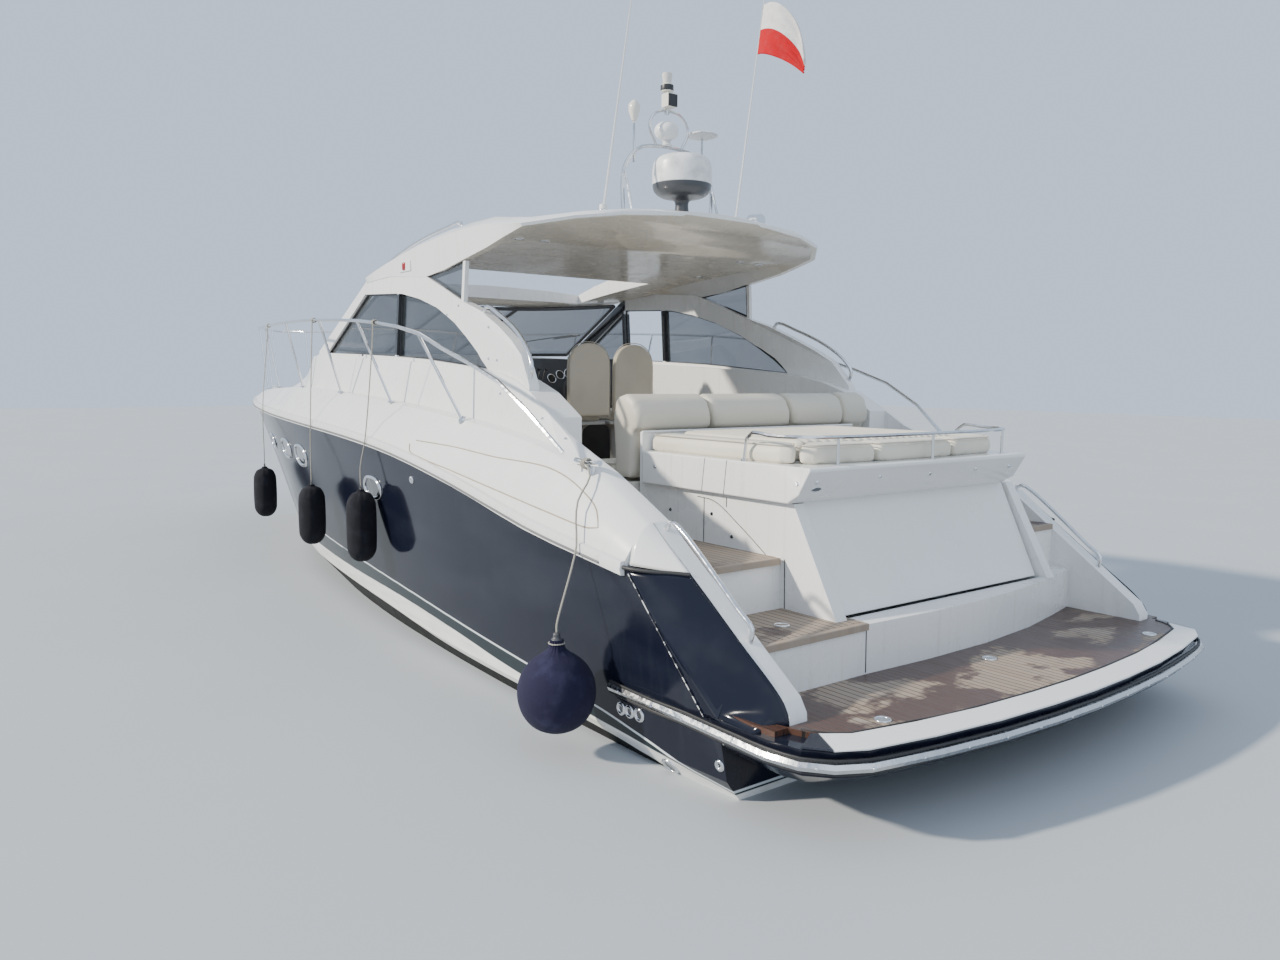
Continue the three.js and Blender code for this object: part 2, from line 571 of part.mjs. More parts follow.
// A pane a little smaller than its opening, drawn in towards its middle
function paneOutline(outline) {
  const middle = [0, 1].map((i) => outline.reduce((sum, p) => sum + p[i], 0) / outline.length);
  return outline.map(([x, z]) => {
    const [dx, dz] = [x - middle[0], z - middle[1]];
    const share = 1 - 1.2 / Math.hypot(dx, dz);
    return [middle[0] + dx * share, middle[1] + dz * share];
  });
}

// Side arches with their window openings, grab rails and the posts of the quarter glass
for (const [word, side] of SIDES) {
  const openings = Object.values(panesOf(word)).map((outline) => leaning(outline, side, ARCH_OUTER + 60, 200));
  const rail = [
    [-2940, 2640], [-2990, 2705], [-3240, 2630], [-3560, 2490], [-3760, 2350], [-3835, 2240], [-3795, 2150],
  ];
  const grab = pipe(rail.map(([x, z]) => [x, side * (ARCH_OUTER + offsetAt(x, z) - 20), z]), 14, 14, 6);
  const post = leaning([[-2600, 2740], [-2640, 2740], [-2640, 3085], [-2600, 3085]], side, ARCH_OUTER - 5, 35);
  const arch = cut(leaning(ARCH, side, ARCH_OUTER, ARCH_THICKNESS), ...openings);
  const body = piece('arch_' + word, fitted(join(arch, grab, post), deck, cockpit, hardtop), 'gelcoat');
  for (const [place, outline] of Object.entries(panesOf(word))) {
    if (place !== 'gap') {
      const pane = leaning(paneOutline(outline), side, ARCH_OUTER - 36, 8);
      piece('side_glass_' + word + '_' + place, pane, 'glass');
    }
  }
  const quarter = [[-1930, 3020], [-2610, 3110], [-2610, 2770], [-2300, 2880], [-1930, 2975]];
  const quarterPane = leaning(quarter, side, ARCH_OUTER - 18, 8);
  piece('quarter_glass_' + word, fitted(quarterPane, body, hardtop), 'glass');
}

// Windscreen: one curved, raked pane on a black frame of base, head and side bars
const SCREEN = { base: 1700, side: 560, baseY: 1480, head: -30, headSide: -560, headY: 1400 };
function screenPoint(t, high, out) {
  const sweep = Math.abs(t) ** 2.2;
  const x = high
    ? SCREEN.head + (SCREEN.headSide - SCREEN.head) * sweep
    : SCREEN.base + (SCREEN.side - SCREEN.base) * sweep;
  const z = high ? 2925 + 60 * t * t : deckTop(x) + 17 + 6 * t * t;
  return [x + out * 0.5, (high ? SCREEN.headY : SCREEN.baseY) * t, z + out * 0.86];
}
const SPREAD = [-1, -0.8, -0.6, -0.3, 0, 0.3, 0.6, 0.8, 1];
const FINE_SPREAD = Array.from({ length: 17 }, (_, i) => i / 8 - 1);
const OUTER_FACE = 2;
const screen = piece('windscreen_glass', loft(FINE_SPREAD.map((t) => [
  screenPoint(t, false, 16), screenPoint(t, true, 16), screenPoint(t, true, 24), screenPoint(t, false, 24),
]), [OUTER_FACE]), 'glass');
piece('windscreen_frame', fitted(join(
  pipe(SPREAD.map((t) => screenPoint(t, false, 0)), 20, 16, 6),
  pipe(SPREAD.map((t) => screenPoint(t, true, 0)), 20, 16, 6),
  ...[-1, -0.3, 0.3, 1].map((t) => rod(screenPoint(t, false, 0), screenPoint(t, true, 0), 18, 6)),
), screen, deck, hardtop), 'black');

// Companionway door, sliding to port in front of the bulkhead
const doorLeaf = block([BULKHEAD_X - 50, BULKHEAD_X - 32], [50, 600], [SOLE + RUNNING_GAP, 2180]);
piece('companion_door', doorLeaf, 'glass');

// Helm console with its sloping instrument face and the wheel's boss, and the wheel
const HELM_Y = -660;
const WHEEL = { radius: 190, rim: 15, x: -930, z: 1990, rake: THREE.MathUtils.degToRad(28), depth: 62 };
const wheelAxis = [-Math.cos(WHEEL.rake), 0, Math.sin(WHEEL.rake)];
const wheelCentre = [WHEEL.x, HELM_Y, WHEEL.z];
const behindWheel = (depth) => wheelCentre.map((c, i) => c - wheelAxis[i] * depth);
piece('helm_console', join(
  prism('y', [
    [BULKHEAD_X - 30, SOLE + GAP], [BULKHEAD_X - 430, SOLE + GAP], [BULKHEAD_X - 480, 1700],
    [BULKHEAD_X - 520, 1960], [BULKHEAD_X - 380, 2250], [BULKHEAD_X - 240, 2375], [BULKHEAD_X - 30, 2375],
  ], -1340, -60),
  rod(behindWheel(WHEEL.depth + RUNNING_GAP), behindWheel(WHEEL.depth + 60), 40, 16),
), 'black');
function wheelBody() {
  const rim = new THREE.TorusGeometry(WHEEL.radius, WHEEL.rim, 8, 24);
  const axis = new THREE.Vector3(...wheelAxis);
  const turn = new THREE.Quaternion().setFromUnitVectors(new THREE.Vector3(0, 0, 1), axis);
  rim.applyQuaternion(turn);
  rim.translate(WHEEL.x, HELM_Y, WHEEL.z);
  const spokes = [90, 180, 270].map((degrees) => {
    const angle = THREE.MathUtils.degToRad(degrees);
    const tip = new THREE.Vector3(WHEEL.radius * Math.cos(angle), WHEEL.radius * Math.sin(angle), 0);
    tip.applyQuaternion(turn).add(new THREE.Vector3(...wheelCentre));
    return rod(wheelCentre, tip.toArray(), 10, 6);
  });
  return join(solid(rim), rod(behindWheel(-12), behindWheel(WHEEL.depth), 34, 12), ...spokes);
}
piece('steering_wheel', wheelBody(), 'black');

// Two bucket seats on one pedestal each, behind the wheel
for (const [word, y] of [['port', -190], ['starboard', -725]]) {
  const x = -1560;
  const half = 250;
  const pedestal = block([x - 150, x + 150], [y - 110, y + 110], [SOLE + GAP, 1720]);
  const seat = block([x - 200, x + 270], [y - half, y + half], [1719, 1860]);
  const back = prism('x', Array.from({ length: 11 }, (_, i) => {
    const angle = (Math.PI * i) / 10;
    return [y + half * Math.cos(angle), 2290 + 230 * Math.sin(angle)];
  }).concat([[y - half, 1790], [y + half, 1790]]), x - 290, x - 180);
  piece('helm_seat_' + word, join(pedestal, seat, back), 'vinyl');
}

// Cockpit seat ahead of the sunpad: moulded base, cushion, and the backrest roll that heads the pad
const SOFA = { back: -4185, front: -3560, y0: -1440, y1: 1050 };
piece('sofa_base', join(
  block([SOFA.back, SOFA.front], [SOFA.y0, SOFA.y1], [SOLE + GAP, 1440]),
  block([SOFA.front - 1, -2500], [SOFA.y0 + 20, -860], [SOLE + GAP, 1440]),
), 'gelcoat');
piece('sofa_seat', join(
  block([SOFA.back + 230, SOFA.front], [SOFA.y0 + 20, SOFA.y1], [1440 + GAP, 1560]),
  block([SOFA.front - 1, -2500], [SOFA.y0 + 30, -860], [1440 + GAP, 1560]),
), 'vinyl');
piece('sofa_backrest', prism('y', [
  [-4190, 1440 + GAP], [-3962, 1440 + GAP], [-3962, 1570], [-3930, 1900], [-3985, 2060], [-4110, 2090],
  [-4220, 2040], [-4262, 1920], [-4245, 1815], [-4190, 1800],
], SOFA.y0, SOFA.y1), 'vinyl');

// Garage hatch: coaming frame, sloping transom panel, hinged under the pad's forward edge
const HATCH = { y0: -1170, y1: 1060, low: 1446 };
function hatchBody() {
  const frame = prism('y', [
    [HATCH_HINGE_X, HATCH.low], [-5700, HATCH.low], [-5790, 1500], [-5880, 1650], [-5870, COAMING_TOP],
    [HATCH_HINGE_X, COAMING_TOP],
  ], HATCH.y0, HATCH.y1);
  const panel = loft([
    [-5985, LOWER_STEP + 8, -1195, 895], [-5640, 1520, -1195, 895],
  ].map(([x, z, y0, y1]) => [[x, y0, z], [x + 70, y0, z], [x + 70, y1, z], [x, y1, z]]));
  return join(frame, panel);
}
piece('garage_hatch', hatchBody(), 'gelcoat');
piece('sunpad', prism('z', [
  [HATCH_HINGE_X, -1125], [HATCH_HINGE_X, 1005], [-5560, 1005], [-5745, 850], [-5805, 0],
  [-5745, -950], [-5560, -1125],
], COAMING_TOP + GAP, PAD_TOP), 'vinyl');

// Low steel rail round the pad's aft edge
function padRailBody() {
  const foot = COAMING_TOP - 5;
  const top = 1838;
  const run = [
    [-5340, -1143], [-5560, -1146], [-5740, -1090], [-5815, -900], [-5845, -500], [-5850, 0],
    [-5845, 500], [-5815, 800], [-5740, 975], [-5560, 1040], [-5340, 1030],
  ];
  const bar = pipe([[-5290, -1141, foot], ...run.map(([x, y]) => [x, y, top]), [-5290, 1021, foot]], 12, 44, 6);
  const posts = [[-5820, 760], [-5848, -120], [-5800, -980]].map(
    ([x, y]) => rod([x, y, foot], [x, y, top], 10, 6),
  );
  return join(bar, ...posts);
}
const underCoaming = block([-6000, -5000], [-1300, 1300], [1500, COAMING_TOP + GAP]);
piece('sunpad_rail', cut(padRailBody(), underCoaming), 'steel');

// Bow rail in one bend from quarter to quarter: x, breadth and height at the top
const RAIL = [
  [-4640, 1935, 1712], [-4310, 1995, 1962], [-3865, 2015, 2187], [-3320, 2025, 2332], [-2775, 2030, 2498],
  [-1955, 2030, 2610], [-530, 1990, 2690], [880, 1850, 2730], [2400, 1600, 2755], [3800, 1290, 2800],
  [5200, 800, 2850], [6300, 380, 2880], [6900, 150, 2890],
];
// Rail posts: x at the foot and at the top
const RAIL_POSTS = [
  [-3100, -2775], [-1780, -1550], [-550, -520], [830, 900], [2300, 2480], [3800, 4000],
  [5200, 5420], [6350, 6600],
];
function bowRailBody() {
  const starboard = RAIL.map(([x, y, z]) => [x, -y, z]).reverse();
  const bar = pipe([...RAIL, [7010, 0, 2892], ...starboard], 15, 60, 6);
  const posts = SIDES.flatMap(([, side]) => RAIL_POSTS.map(([foot, top]) => {
    const [, , , yR, zR] = rowAt(DECK, foot);
    const [, yT, zT] = rowAt(RAIL, top);
    return rod([foot, side * (yR - 6), zR - 12], [top, side * yT, zT], 12, 6);
  }));
  return join(bar, ...posts);
}
const bowRail = piece('bow_rail', fitted(bowRailBody(), deck), 'steel');

// Radar mast on the hardtop: a leg hoop with struts, an upper hoop, the lamp post and aerial poles
const MAST_X = -3250;
const MAST_BAR_Z = 4060;
const LAMP_Y = 25;
const POLE_Y = 360;
const roofFoot = (x, y) => roofTop(x) - 55 * Math.abs(y / 1400) ** 1.5;
function mastBody() {
  const half = (side) => [
    [MAST_X, side * 460, roofFoot(MAST_X, 460) - 30], [MAST_X, side * 455, 3850], [MAST_X, side * 310, 4020],
    [MAST_X, side * 130, MAST_BAR_Z],
  ];
  const upperHalf = (side) => [
    [MAST_X, side * 130, MAST_BAR_Z], [MAST_X, side * 205, 4230], [MAST_X, side * 120, 4335],
  ];
  const low = pipe([...half(1), ...half(-1).reverse()], 16, 28, 6);
  const high = pipe([...upperHalf(1), ...upperHalf(-1).reverse()], 12, 18, 6);
  const struts = [1, -1].map((side) => rod(
    [MAST_X - 150, side * 460, roofFoot(MAST_X - 150, 460) - 30], [MAST_X, side * 455, 3850], 12, 6,
  ));
  const feet = [1, -1].flatMap((side) => [0, 150].map((back) => turned(
    [[0, -20], [34, -20], [34, 6], [0, 6]], [MAST_X - back, side * 460, roofFoot(MAST_X - back, 460)], 10,
  )));
  const lamp = rod([MAST_X, LAMP_Y, 4325], [MAST_X, LAMP_Y, 4520], 20, 8);
  const lampHead = [[0, 4505], [52, 4505], [52, 4562], [32, 4574], [42, 4650], [0, 4656]];
  const head = turned(lampHead, [MAST_X, LAMP_Y, 0], 10);
  const boxLight = block([MAST_X - 75, MAST_X + 10], [LAMP_Y - 48, LAMP_Y + 48], [4375, 4480]);
  const poles = [[POLE_Y, 4250], [-POLE_Y, 4186]]
    .map(([y, z]) => rod([MAST_X, y, 3900], [MAST_X, y, z], 10, 6));
  const aerial = [[0, 4225], [20, 4225], [46, 4300], [46, 4350], [22, 4378], [0, 4378]];
  const knob = turned(aerial, [MAST_X, POLE_Y, 0], 10);
  return join(low, high, ...struts, ...feet, lamp, head, boxLight, ...poles, knob);
}
const mast = piece('radar_mast', fitted(mastBody(), hardtop), 'steel');
piece('radar_dome', fitted(turned([
  [0, 0], [150, 0], [130, 26], [60, 40], [60, 190], [170, 212],
  [232, 260], [246, 330], [240, 420], [205, 490], [130, 532], [0, 545],
], [MAST_X - 140, -30, ROOF_PEAK_Z - 12], 24), hardtop), 'gelcoat');
piece('tv_dome', fitted(turned([
  [0, 0], [46, 0], [46, 26], [88, 44], [102, 92], [94, 150], [58, 190], [0, 202],
], [MAST_X, LAMP_Y, MAST_BAR_Z + 10], 16), mast), 'gelcoat');
piece('disc_aerial', turned([
  [0, 0], [60, 0], [135, 24], [135, 34], [60, 60], [0, 64],
], [MAST_X, -POLE_Y, 4186 + GAP], 16), 'gelcoat');

// Whip aerials in their deck mounts, and the pennant on the starboard one: foot, height of the tip
// and how far aft the whip leans for each millimetre of height
const WHIPS = { port: [-3390, 760, 5400, 0.235], starboard: [-2905, -1050, 5750, 0.17] };
const whips = Object.entries(WHIPS).map(([word, [x, y, tip, rake]]) => {
  const foot = roofFoot(x, y) + 6;
  const whip = rod([x, y, foot], [x - (tip - foot) * rake, y, tip], 10, 6, 3);
  const mount = turned([[0, -30], [36, -30], [30, 70], [0, 80]], [x - 4, y, foot], 10);
  return piece('whip_' + word, fitted(join(whip, mount), hardtop), 'gelcoat');
});
const FLAG = { hoist: 5030, head: 5430, fly: 580 };
piece('pennant', fitted(loft([0, 0.17, 0.33, 0.5, 0.67, 0.83, 1].map((t) => {
  const [x, y, , rake] = WHIPS.starboard;
  const luff = (z) => x - (z - roofFoot(x, y) - 6) * rake - 3;
  const wave = 40 * Math.sin(t * 5);
  const [low, high] = [FLAG.hoist - 110 * t - 170 * t ** 2, FLAG.head - 60 * t - 515 * t ** 3];
  return [[luff(low), low, -3], [luff(high), high, -3], [luff(high), high, 3], [luff(low), low, 3]]
    .map(([px, pz, thick]) => [px - FLAG.fly * t, y + wave + thick, pz]);
})), ...whips), 'red');

// Searchlight on the roof's starboard edge, on its stalk
const LIGHT = { x: -3060, y: -1200 };
const lightZ = roofFoot(LIGHT.x, LIGHT.y) + 6;
piece('searchlight', fitted(join(
  turned([[0, -30], [50, -30], [50, 18], [20, 30], [20, 165], [0, 165]], [LIGHT.x, LIGHT.y, lightZ], 12),
  rod([LIGHT.x - 60, LIGHT.y, lightZ + 212], [LIGHT.x + 70, LIGHT.y, lightZ + 212], 56, 12, 66),
), hardtop), 'steel');

// Foredeck hatch with its hinges forward, and the anchor in its bow roller
const HATCH_X = [3180, 3700];
piece('foredeck_hatch', fitted(loft(HATCH_X.map((x) => [
  [x, -250, deckTop(x) - 40], [x, 250, deckTop(x) - 40], [x, 250, deckTop(x) + 40], [x, -250, deckTop(x) + 40],
])), deck), 'glass');
const NOSE_X = 7143;
piece('anchor', fitted(join(
  block([6480, NOSE_X + 42], [-26, 26], [1890, 1945]),
  prism('x', [[-150, 1720], [0, 1650], [150, 1720], [26, 1900], [-26, 1900]], NOSE_X, NOSE_X + 42),
), deck), 'steel');

// Engines under the cockpit sole, one block each
const ENGINE = { x0: -3500, x1: -2350, inner: 260, outer: 1000, z0: -250 + GAP, z1: 620 };
for (const [word, side] of SIDES) {
  const [y0, y1] = [side * ENGINE.inner, side * ENGINE.outer].sort((a, b) => a - b);
  piece('engine_' + word, block([ENGINE.x0, ENGINE.x1], [y0, y1], [ENGINE.z0, ENGINE.z1]), 'grey');
}

// Propellers with their shafts, and the rudders on their stocks
const shaftZ = (x) => PROP_Z + (x - PROP_X) * SHAFT_SLOPE;
const BLADE_PITCH = 34;
function propellerBody(side) {
  const y = side * PROP_Y;
  // Blade outline: radius and half the chord
  const outline = [[34, 44], [90, 78], [160, 98], [225, 88], [265, 58], [280, 22]];
  const pitch = THREE.MathUtils.degToRad(side * BLADE_PITCH);
  const blades = [0, 1, 2, 3].map((n) => {
    const turn = new THREE.Matrix4().makeRotationX((n * Math.PI) / 2);
    const place = (chord, thick, radius) => new THREE.Vector3(
      chord * Math.sin(Math.abs(pitch)) - thick * Math.cos(pitch),
      chord * Math.cos(pitch) * side + thick * Math.sin(pitch),
      radius,
    ).applyMatrix4(turn).add(new THREE.Vector3(PROP_X, y, PROP_Z)).toArray();
    const edge = [...outline, ...outline.map(([radius, half]) => [radius, -half]).reverse()];
    return loft([-5, 5].map((thick) => edge.map(([radius, chord]) => place(chord, thick, radius))));
  });
  const at = (x) => [x, y, shaftZ(x)];
  return join(
    rod(at(-3640), at(PROP_X), SHAFT_RADIUS, 16),
    rod(at(PROP_X + 95), at(PROP_X - 60), 62, 12, 52),
    rod(at(PROP_X - 59), at(PROP_X - 150), 52, 12, 16),
    ...blades,
  );
}
function rudderBody(side) {
  const foil = [[150, 0], [90, 17], [-60, 13], [-190, 2], [-190, -2], [-60, -13], [90, -17]];
  const blade = loft([[-500, 1, 0], [-1060, 0.8, -20]].map(([z, size, rake]) => foil.map(
    ([x, t]) => [RUDDER_X + x * size + rake, side * PROP_Y + t * size, z],
  )));
  return join(blade, rod([RUDDER_X, side * PROP_Y, -510], [RUDDER_X, side * PROP_Y, -340], STOCK_RADIUS, 16));
}
for (const [word, side] of SIDES) {
  piece('propeller_' + word, propellerBody(side), 'bronze');
  piece('rudder_' + word, rudderBody(side), 'bronze');
}

// Fenders on the port side: x, top and length, and the x of the rail knot that each line hangs from
const FENDER_RADIUS = 125;
const LINE_RADIUS = 5;
const FENDERS = [
  ['fore', 1710, 1120, 560, 2200],
  ['mid', -480, 1130, 560, -330],
  ['aft', -1790, 1210, 600, -1955],
];
const strakeEdge = (x) => gunwale(x)[1] + 34 + LINE_RADIUS + 4;
for (const [word, x, top, length, knotX] of FENDERS) {
  const y = strakeEdge(x) + 22;
  const profile = [[0, -length], [60, -length], [FENDER_RADIUS - 12, 60 - length], [FENDER_RADIUS, 140 - length],
    [FENDER_RADIUS, -130], [FENDER_RADIUS - 15, -60], [55, 0], [24, 12], [24, 50], [0, 50]];
  piece('fender_' + word, turned(profile, [x, y, top], 14), 'fender');
  const [, knotY, knotZ] = rowAt(RAIL, knotX);
  const edgeX = x + (knotX - x) * 0.35;
  const route = [
    [x, y, top + 50 + GAP], [x, y, top + 200], [edgeX, strakeEdge(edgeX), gunwale(edgeX)[2] + 20],
    [knotX, knotY + 22, knotZ - 120], [knotX, knotY + 17, knotZ - 4],
  ];
  piece('fender_line_' + word, fitted(pipe(route, LINE_RADIUS, 18, 6), bowRail), 'rope');
}

// Round ball fender on the quarter, its line led over the gunwale to the aft cleat
const BALL = { x: -5100, y: 2275, z: 383, eye: 352 };
piece('ball_fender', turned([
  [0, -232], [127, -196], [207, -101], [232, 0], [211, 97], [143, 181], [68, 240], [47, 280], [47, 312], [22, 320],
  [22, BALL.eye], [0, BALL.eye],
], [BALL.x, BALL.y, BALL.z], 18), 'fender');
piece('fender_line_ball', fitted(pipe([
  [BALL.x, BALL.y, BALL.z + BALL.eye + GAP], [BALL.x, BALL.y, BALL.z + BALL.eye + 40],
  [-5010, strakeEdge(-5010) + 4, 1200], [-4965, 2055, 1330], [-4930, 2018, 1450], [-4890, 1905, 1585],
  [-4800, 1872, 1655], [-4770, 1862, 1660],
], LINE_RADIUS + 1, 26, 6), deck), 'rope');

export default yacht;
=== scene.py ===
"""Looks of an open motor yacht of about 14 m afloat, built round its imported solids. Metres, +X to the bow."""
import math

import bmesh
import bpy
from mathutils import Matrix, Vector
from mathutils.bvhtree import BVHTree


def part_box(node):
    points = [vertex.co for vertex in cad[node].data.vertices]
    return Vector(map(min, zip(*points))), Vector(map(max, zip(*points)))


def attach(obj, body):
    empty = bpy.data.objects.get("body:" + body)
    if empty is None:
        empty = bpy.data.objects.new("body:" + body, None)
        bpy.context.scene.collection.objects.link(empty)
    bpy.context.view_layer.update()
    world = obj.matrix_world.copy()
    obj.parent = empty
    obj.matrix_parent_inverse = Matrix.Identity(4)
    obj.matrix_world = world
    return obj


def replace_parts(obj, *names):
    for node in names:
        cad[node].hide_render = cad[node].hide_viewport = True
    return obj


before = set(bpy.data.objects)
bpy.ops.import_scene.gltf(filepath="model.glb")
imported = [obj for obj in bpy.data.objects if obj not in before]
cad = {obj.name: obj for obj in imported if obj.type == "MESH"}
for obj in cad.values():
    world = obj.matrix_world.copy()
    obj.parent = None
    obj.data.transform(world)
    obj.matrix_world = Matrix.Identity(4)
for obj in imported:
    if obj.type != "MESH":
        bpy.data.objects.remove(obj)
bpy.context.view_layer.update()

# Camera two metres above the waterline, off the port quarter.
# It looks forward and to starboard, a little down, with the wide lens of a phone.
EYE, HEADING, DIP, ROLL = (-9.668, 5.186, 2.178), 37.45, 6.02, 0.48
SENSOR_WIDTH, LENS, NEAR, FAR = 36.0, 27.3, 0.05, 300.0


def placed(name, data):
    """A new object in the scene."""
    made = bpy.data.objects.new(name, data)
    bpy.context.scene.collection.objects.link(made)
    return made


camera_data = bpy.data.cameras.new("quarter_camera")
camera_data.sensor_width, camera_data.lens = SENSOR_WIDTH, LENS
camera_data.clip_start, camera_data.clip_end = NEAR, FAR
camera = placed("quarter_camera", camera_data)
bpy.context.scene.camera = camera
heading, dip, roll = (math.radians(a) for a in (HEADING, DIP, ROLL))
ahead = Vector((math.cos(heading) * math.cos(dip), -math.sin(heading) * math.cos(dip), -math.sin(dip)))
aside = Vector((-math.sin(heading), -math.cos(heading), 0))
upward = aside.cross(ahead)
right = aside * math.cos(roll) + upward * math.sin(roll)
top = upward * math.cos(roll) - aside * math.sin(roll)
camera.matrix_world = Matrix.Translation(EYE) @ Matrix((right, top, -ahead)).transposed().to_4x4()

# Studio: a low soft sun off the port bow, a broad cool sky and a plain pale floor.
# The floor stands at the waterline, so the bottom shows only from below.
FLOOR_HALF = 60.0
SKY_COLOUR, SKY_STRENGTH = (0.62, 0.74, 0.92, 1), 1.15


def lamp(name, toward, strength, spread, colour):
    """A sun lamp that shines from a direction, with soft edges to its shadows."""
    data = bpy.data.lights.new(name, "SUN")
    data.energy, data.angle, data.color = strength, math.radians(spread), colour
    lit = placed(name, data)
    lit.rotation_mode = "QUATERNION"
    lit.rotation_quaternion = Vector(toward).to_track_quat("Z", "Y")


lamp("low_sun", (0.42, 0.86, 0.52), 6.2, 3, (1.0, 0.93, 0.82))
lamp("sky_fill", (-0.85, 0.25, 0.6), 0.55, 60, (0.88, 0.93, 1.0))
sky = bpy.data.worlds.new("studio_sky")
sky.use_nodes = True
sky.node_tree.nodes["Background"].inputs["Color"].default_value = SKY_COLOUR
sky.node_tree.nodes["Background"].inputs["Strength"].default_value = SKY_STRENGTH
bpy.context.scene.world = sky


class Finish:
    """One material: a Principled shader and the procedural nodes that feed it, on Object coordinates."""

    def __init__(self, name, slot, colour, roughness, **sockets):
        self.material, self.slot = bpy.data.materials.new(name), slot
        self.material.use_nodes = True
        self.nodes, self.links = self.material.node_tree.nodes, self.material.node_tree.links
        self.shader = self.nodes["Principled BSDF"]
        coordinates = self.nodes.new("ShaderNodeTexCoord")
        self.place, self.facing = coordinates.outputs["Object"], coordinates.outputs["Normal"]
        self.x, self.y, self.z = self.add("SeparateXYZ", Vector=self.place).outputs
        for socket, value in {"Roughness": roughness, **sockets}.items():
            self.shader.inputs[socket.replace("_", " ")].default_value = value
        self.colour(colour)

    def feed(self, socket, value):
        """Links a socket, or sets it to a number or a colour."""
        if isinstance(value, bpy.types.NodeSocket):
            self.links.new(value, socket)
        elif hasattr(value, "__len__") and socket.type == "RGBA":
            socket.default_value = (*value[:3], 1)
        else:
            socket.default_value = value

    def add(self, kind, **inputs):
        """A node of a kind, with its inputs fed by name."""
        made = self.nodes.new("ShaderNode" + kind)
        for name, value in inputs.items():
            if hasattr(made, name) and name.islower():
                setattr(made, name, value)
            else:
                self.feed(made.inputs[name.replace("_", " ")], value)
        return made

    def sum(self, operation, *values):
        """One step of arithmetic."""
        made = self.nodes.new("ShaderNodeMath")
        made.operation = operation
        for socket, value in zip(made.inputs, values):
            self.feed(socket, value)
        return made.outputs[0]

    def times(self, a, b):
        return self.sum("MULTIPLY", a, b)

    def plus(self, a, b):
        return self.sum("ADD", a, b)

    def less(self, a, b):
        return self.sum("SUBTRACT", a, b)

    def ramp(self, value, low, high, start=0.0, end=1.0):
        """A value brought from one range to another, and held at its ends."""
        made = self.nodes.new("ShaderNodeMapRange")
        for socket, given in zip(made.inputs, (value, low, high, start, end)):
            self.feed(socket, given)
        return made.outputs[0]

    def noise(self, scale, detail=3.0, stretch=(1, 1, 1), rough=0.5):
        """A cloudy pattern, scale to the metre, stretched along an axis where that is under one."""
        mapped = self.add("Mapping", Vector=self.place, Scale=stretch).outputs[0]
        return self.add("TexNoise", Vector=mapped, Scale=scale, Detail=detail, Roughness=rough).outputs[0]

    def patches(self, low, high, *cloud):
        """A cloudy pattern brought out between two of its levels."""
        return self.ramp(self.noise(*cloud), low, high)

    def pebble(self, scale):
        """A grain of small cells, scale to the metre."""
        return self.add("TexVoronoi", Vector=self.place, Scale=scale).outputs["Distance"]

    def woven(self, a, b, pitch):
        """Threads that cross."""
        return self.times(*(self.sum("SINE", self.times(way, pitch)) for way in (a, b)))

    def faces(self, axis):
        """How far the surface faces along an axis."""
        return self.add("SeparateXYZ", Vector=self.facing).outputs[axis]

    def mix(self, share, low, high):
        """One colour over another by a share."""
        made = self.nodes.new("ShaderNodeMix")
        made.data_type = "RGBA"
        for index, value in ((0, share), (6, low), (7, high)):
            self.feed(made.inputs[index], value)
        return made.outputs[2]

    def band(self, value, low, high, soft=0.002):
        """One between two levels and nothing outside them."""
        return self.times(self.ramp(self.less(value, low), -soft, soft), self.ramp(self.less(high, value), -soft, soft))

    def colour(self, value):
        self.feed(self.shader.inputs["Base Color"], value)
        return self

    def over(self, share, tone):
        """Paints a tone over the colour that is there, by a share."""
        return self.colour(self.mix(share, self.shader.inputs["Base Color"].links[0].from_socket, tone))

    def rough(self, value):
        self.feed(self.shader.inputs["Roughness"], value)
        return self

    def bump(self, height, distance, strength=1.0):
        """Adds relief of a depth in metres over what is there."""
        made = self.add("Bump", Height=height, Distance=distance, Strength=strength)
        under = self.shader.inputs["Normal"].links
        if under:
            self.links.new(under[0].from_socket, made.inputs["Normal"])
        self.links.new(made.outputs[0], self.shader.inputs["Normal"])
        return self


def mottled(name, slot, roughness, low, high, cloud, grain=None, span=None, **sockets):
    """A finish of two tones that drift into each other, with a fine grain where it has one."""
    made = Finish(name, slot, low, roughness, **sockets)
    share = made.patches(*span, *cloud) if span else made.noise(*cloud)
    made.colour(made.mix(share, low, high))
    return made.bump(made.noise(*grain[:-1]), grain[-1]) if grain else made


def mesh_piece(name, points, faces, edges=()):
    """A mesh object of this boat, with its place in its mesh."""
    data = bpy.data.meshes.new(name)
    data.from_pydata([tuple(p) for p in points], list(edges), list(faces))
    data.update()
    return placed(name, data)


FLOOR_CORNERS = ((-1, -1), (1, -1), (1, 1), (-1, 1))
floor = mesh_piece("studio_floor", [(x * FLOOR_HALF, y * FLOOR_HALF, 0) for x, y in FLOOR_CORNERS], [(0, 1, 2, 3)])
floor.data.materials.append(mottled("pale_floor", None, 0.9, (0.4, 0.43, 0.46), (0.45, 0.475, 0.49), (0.6,)).material)

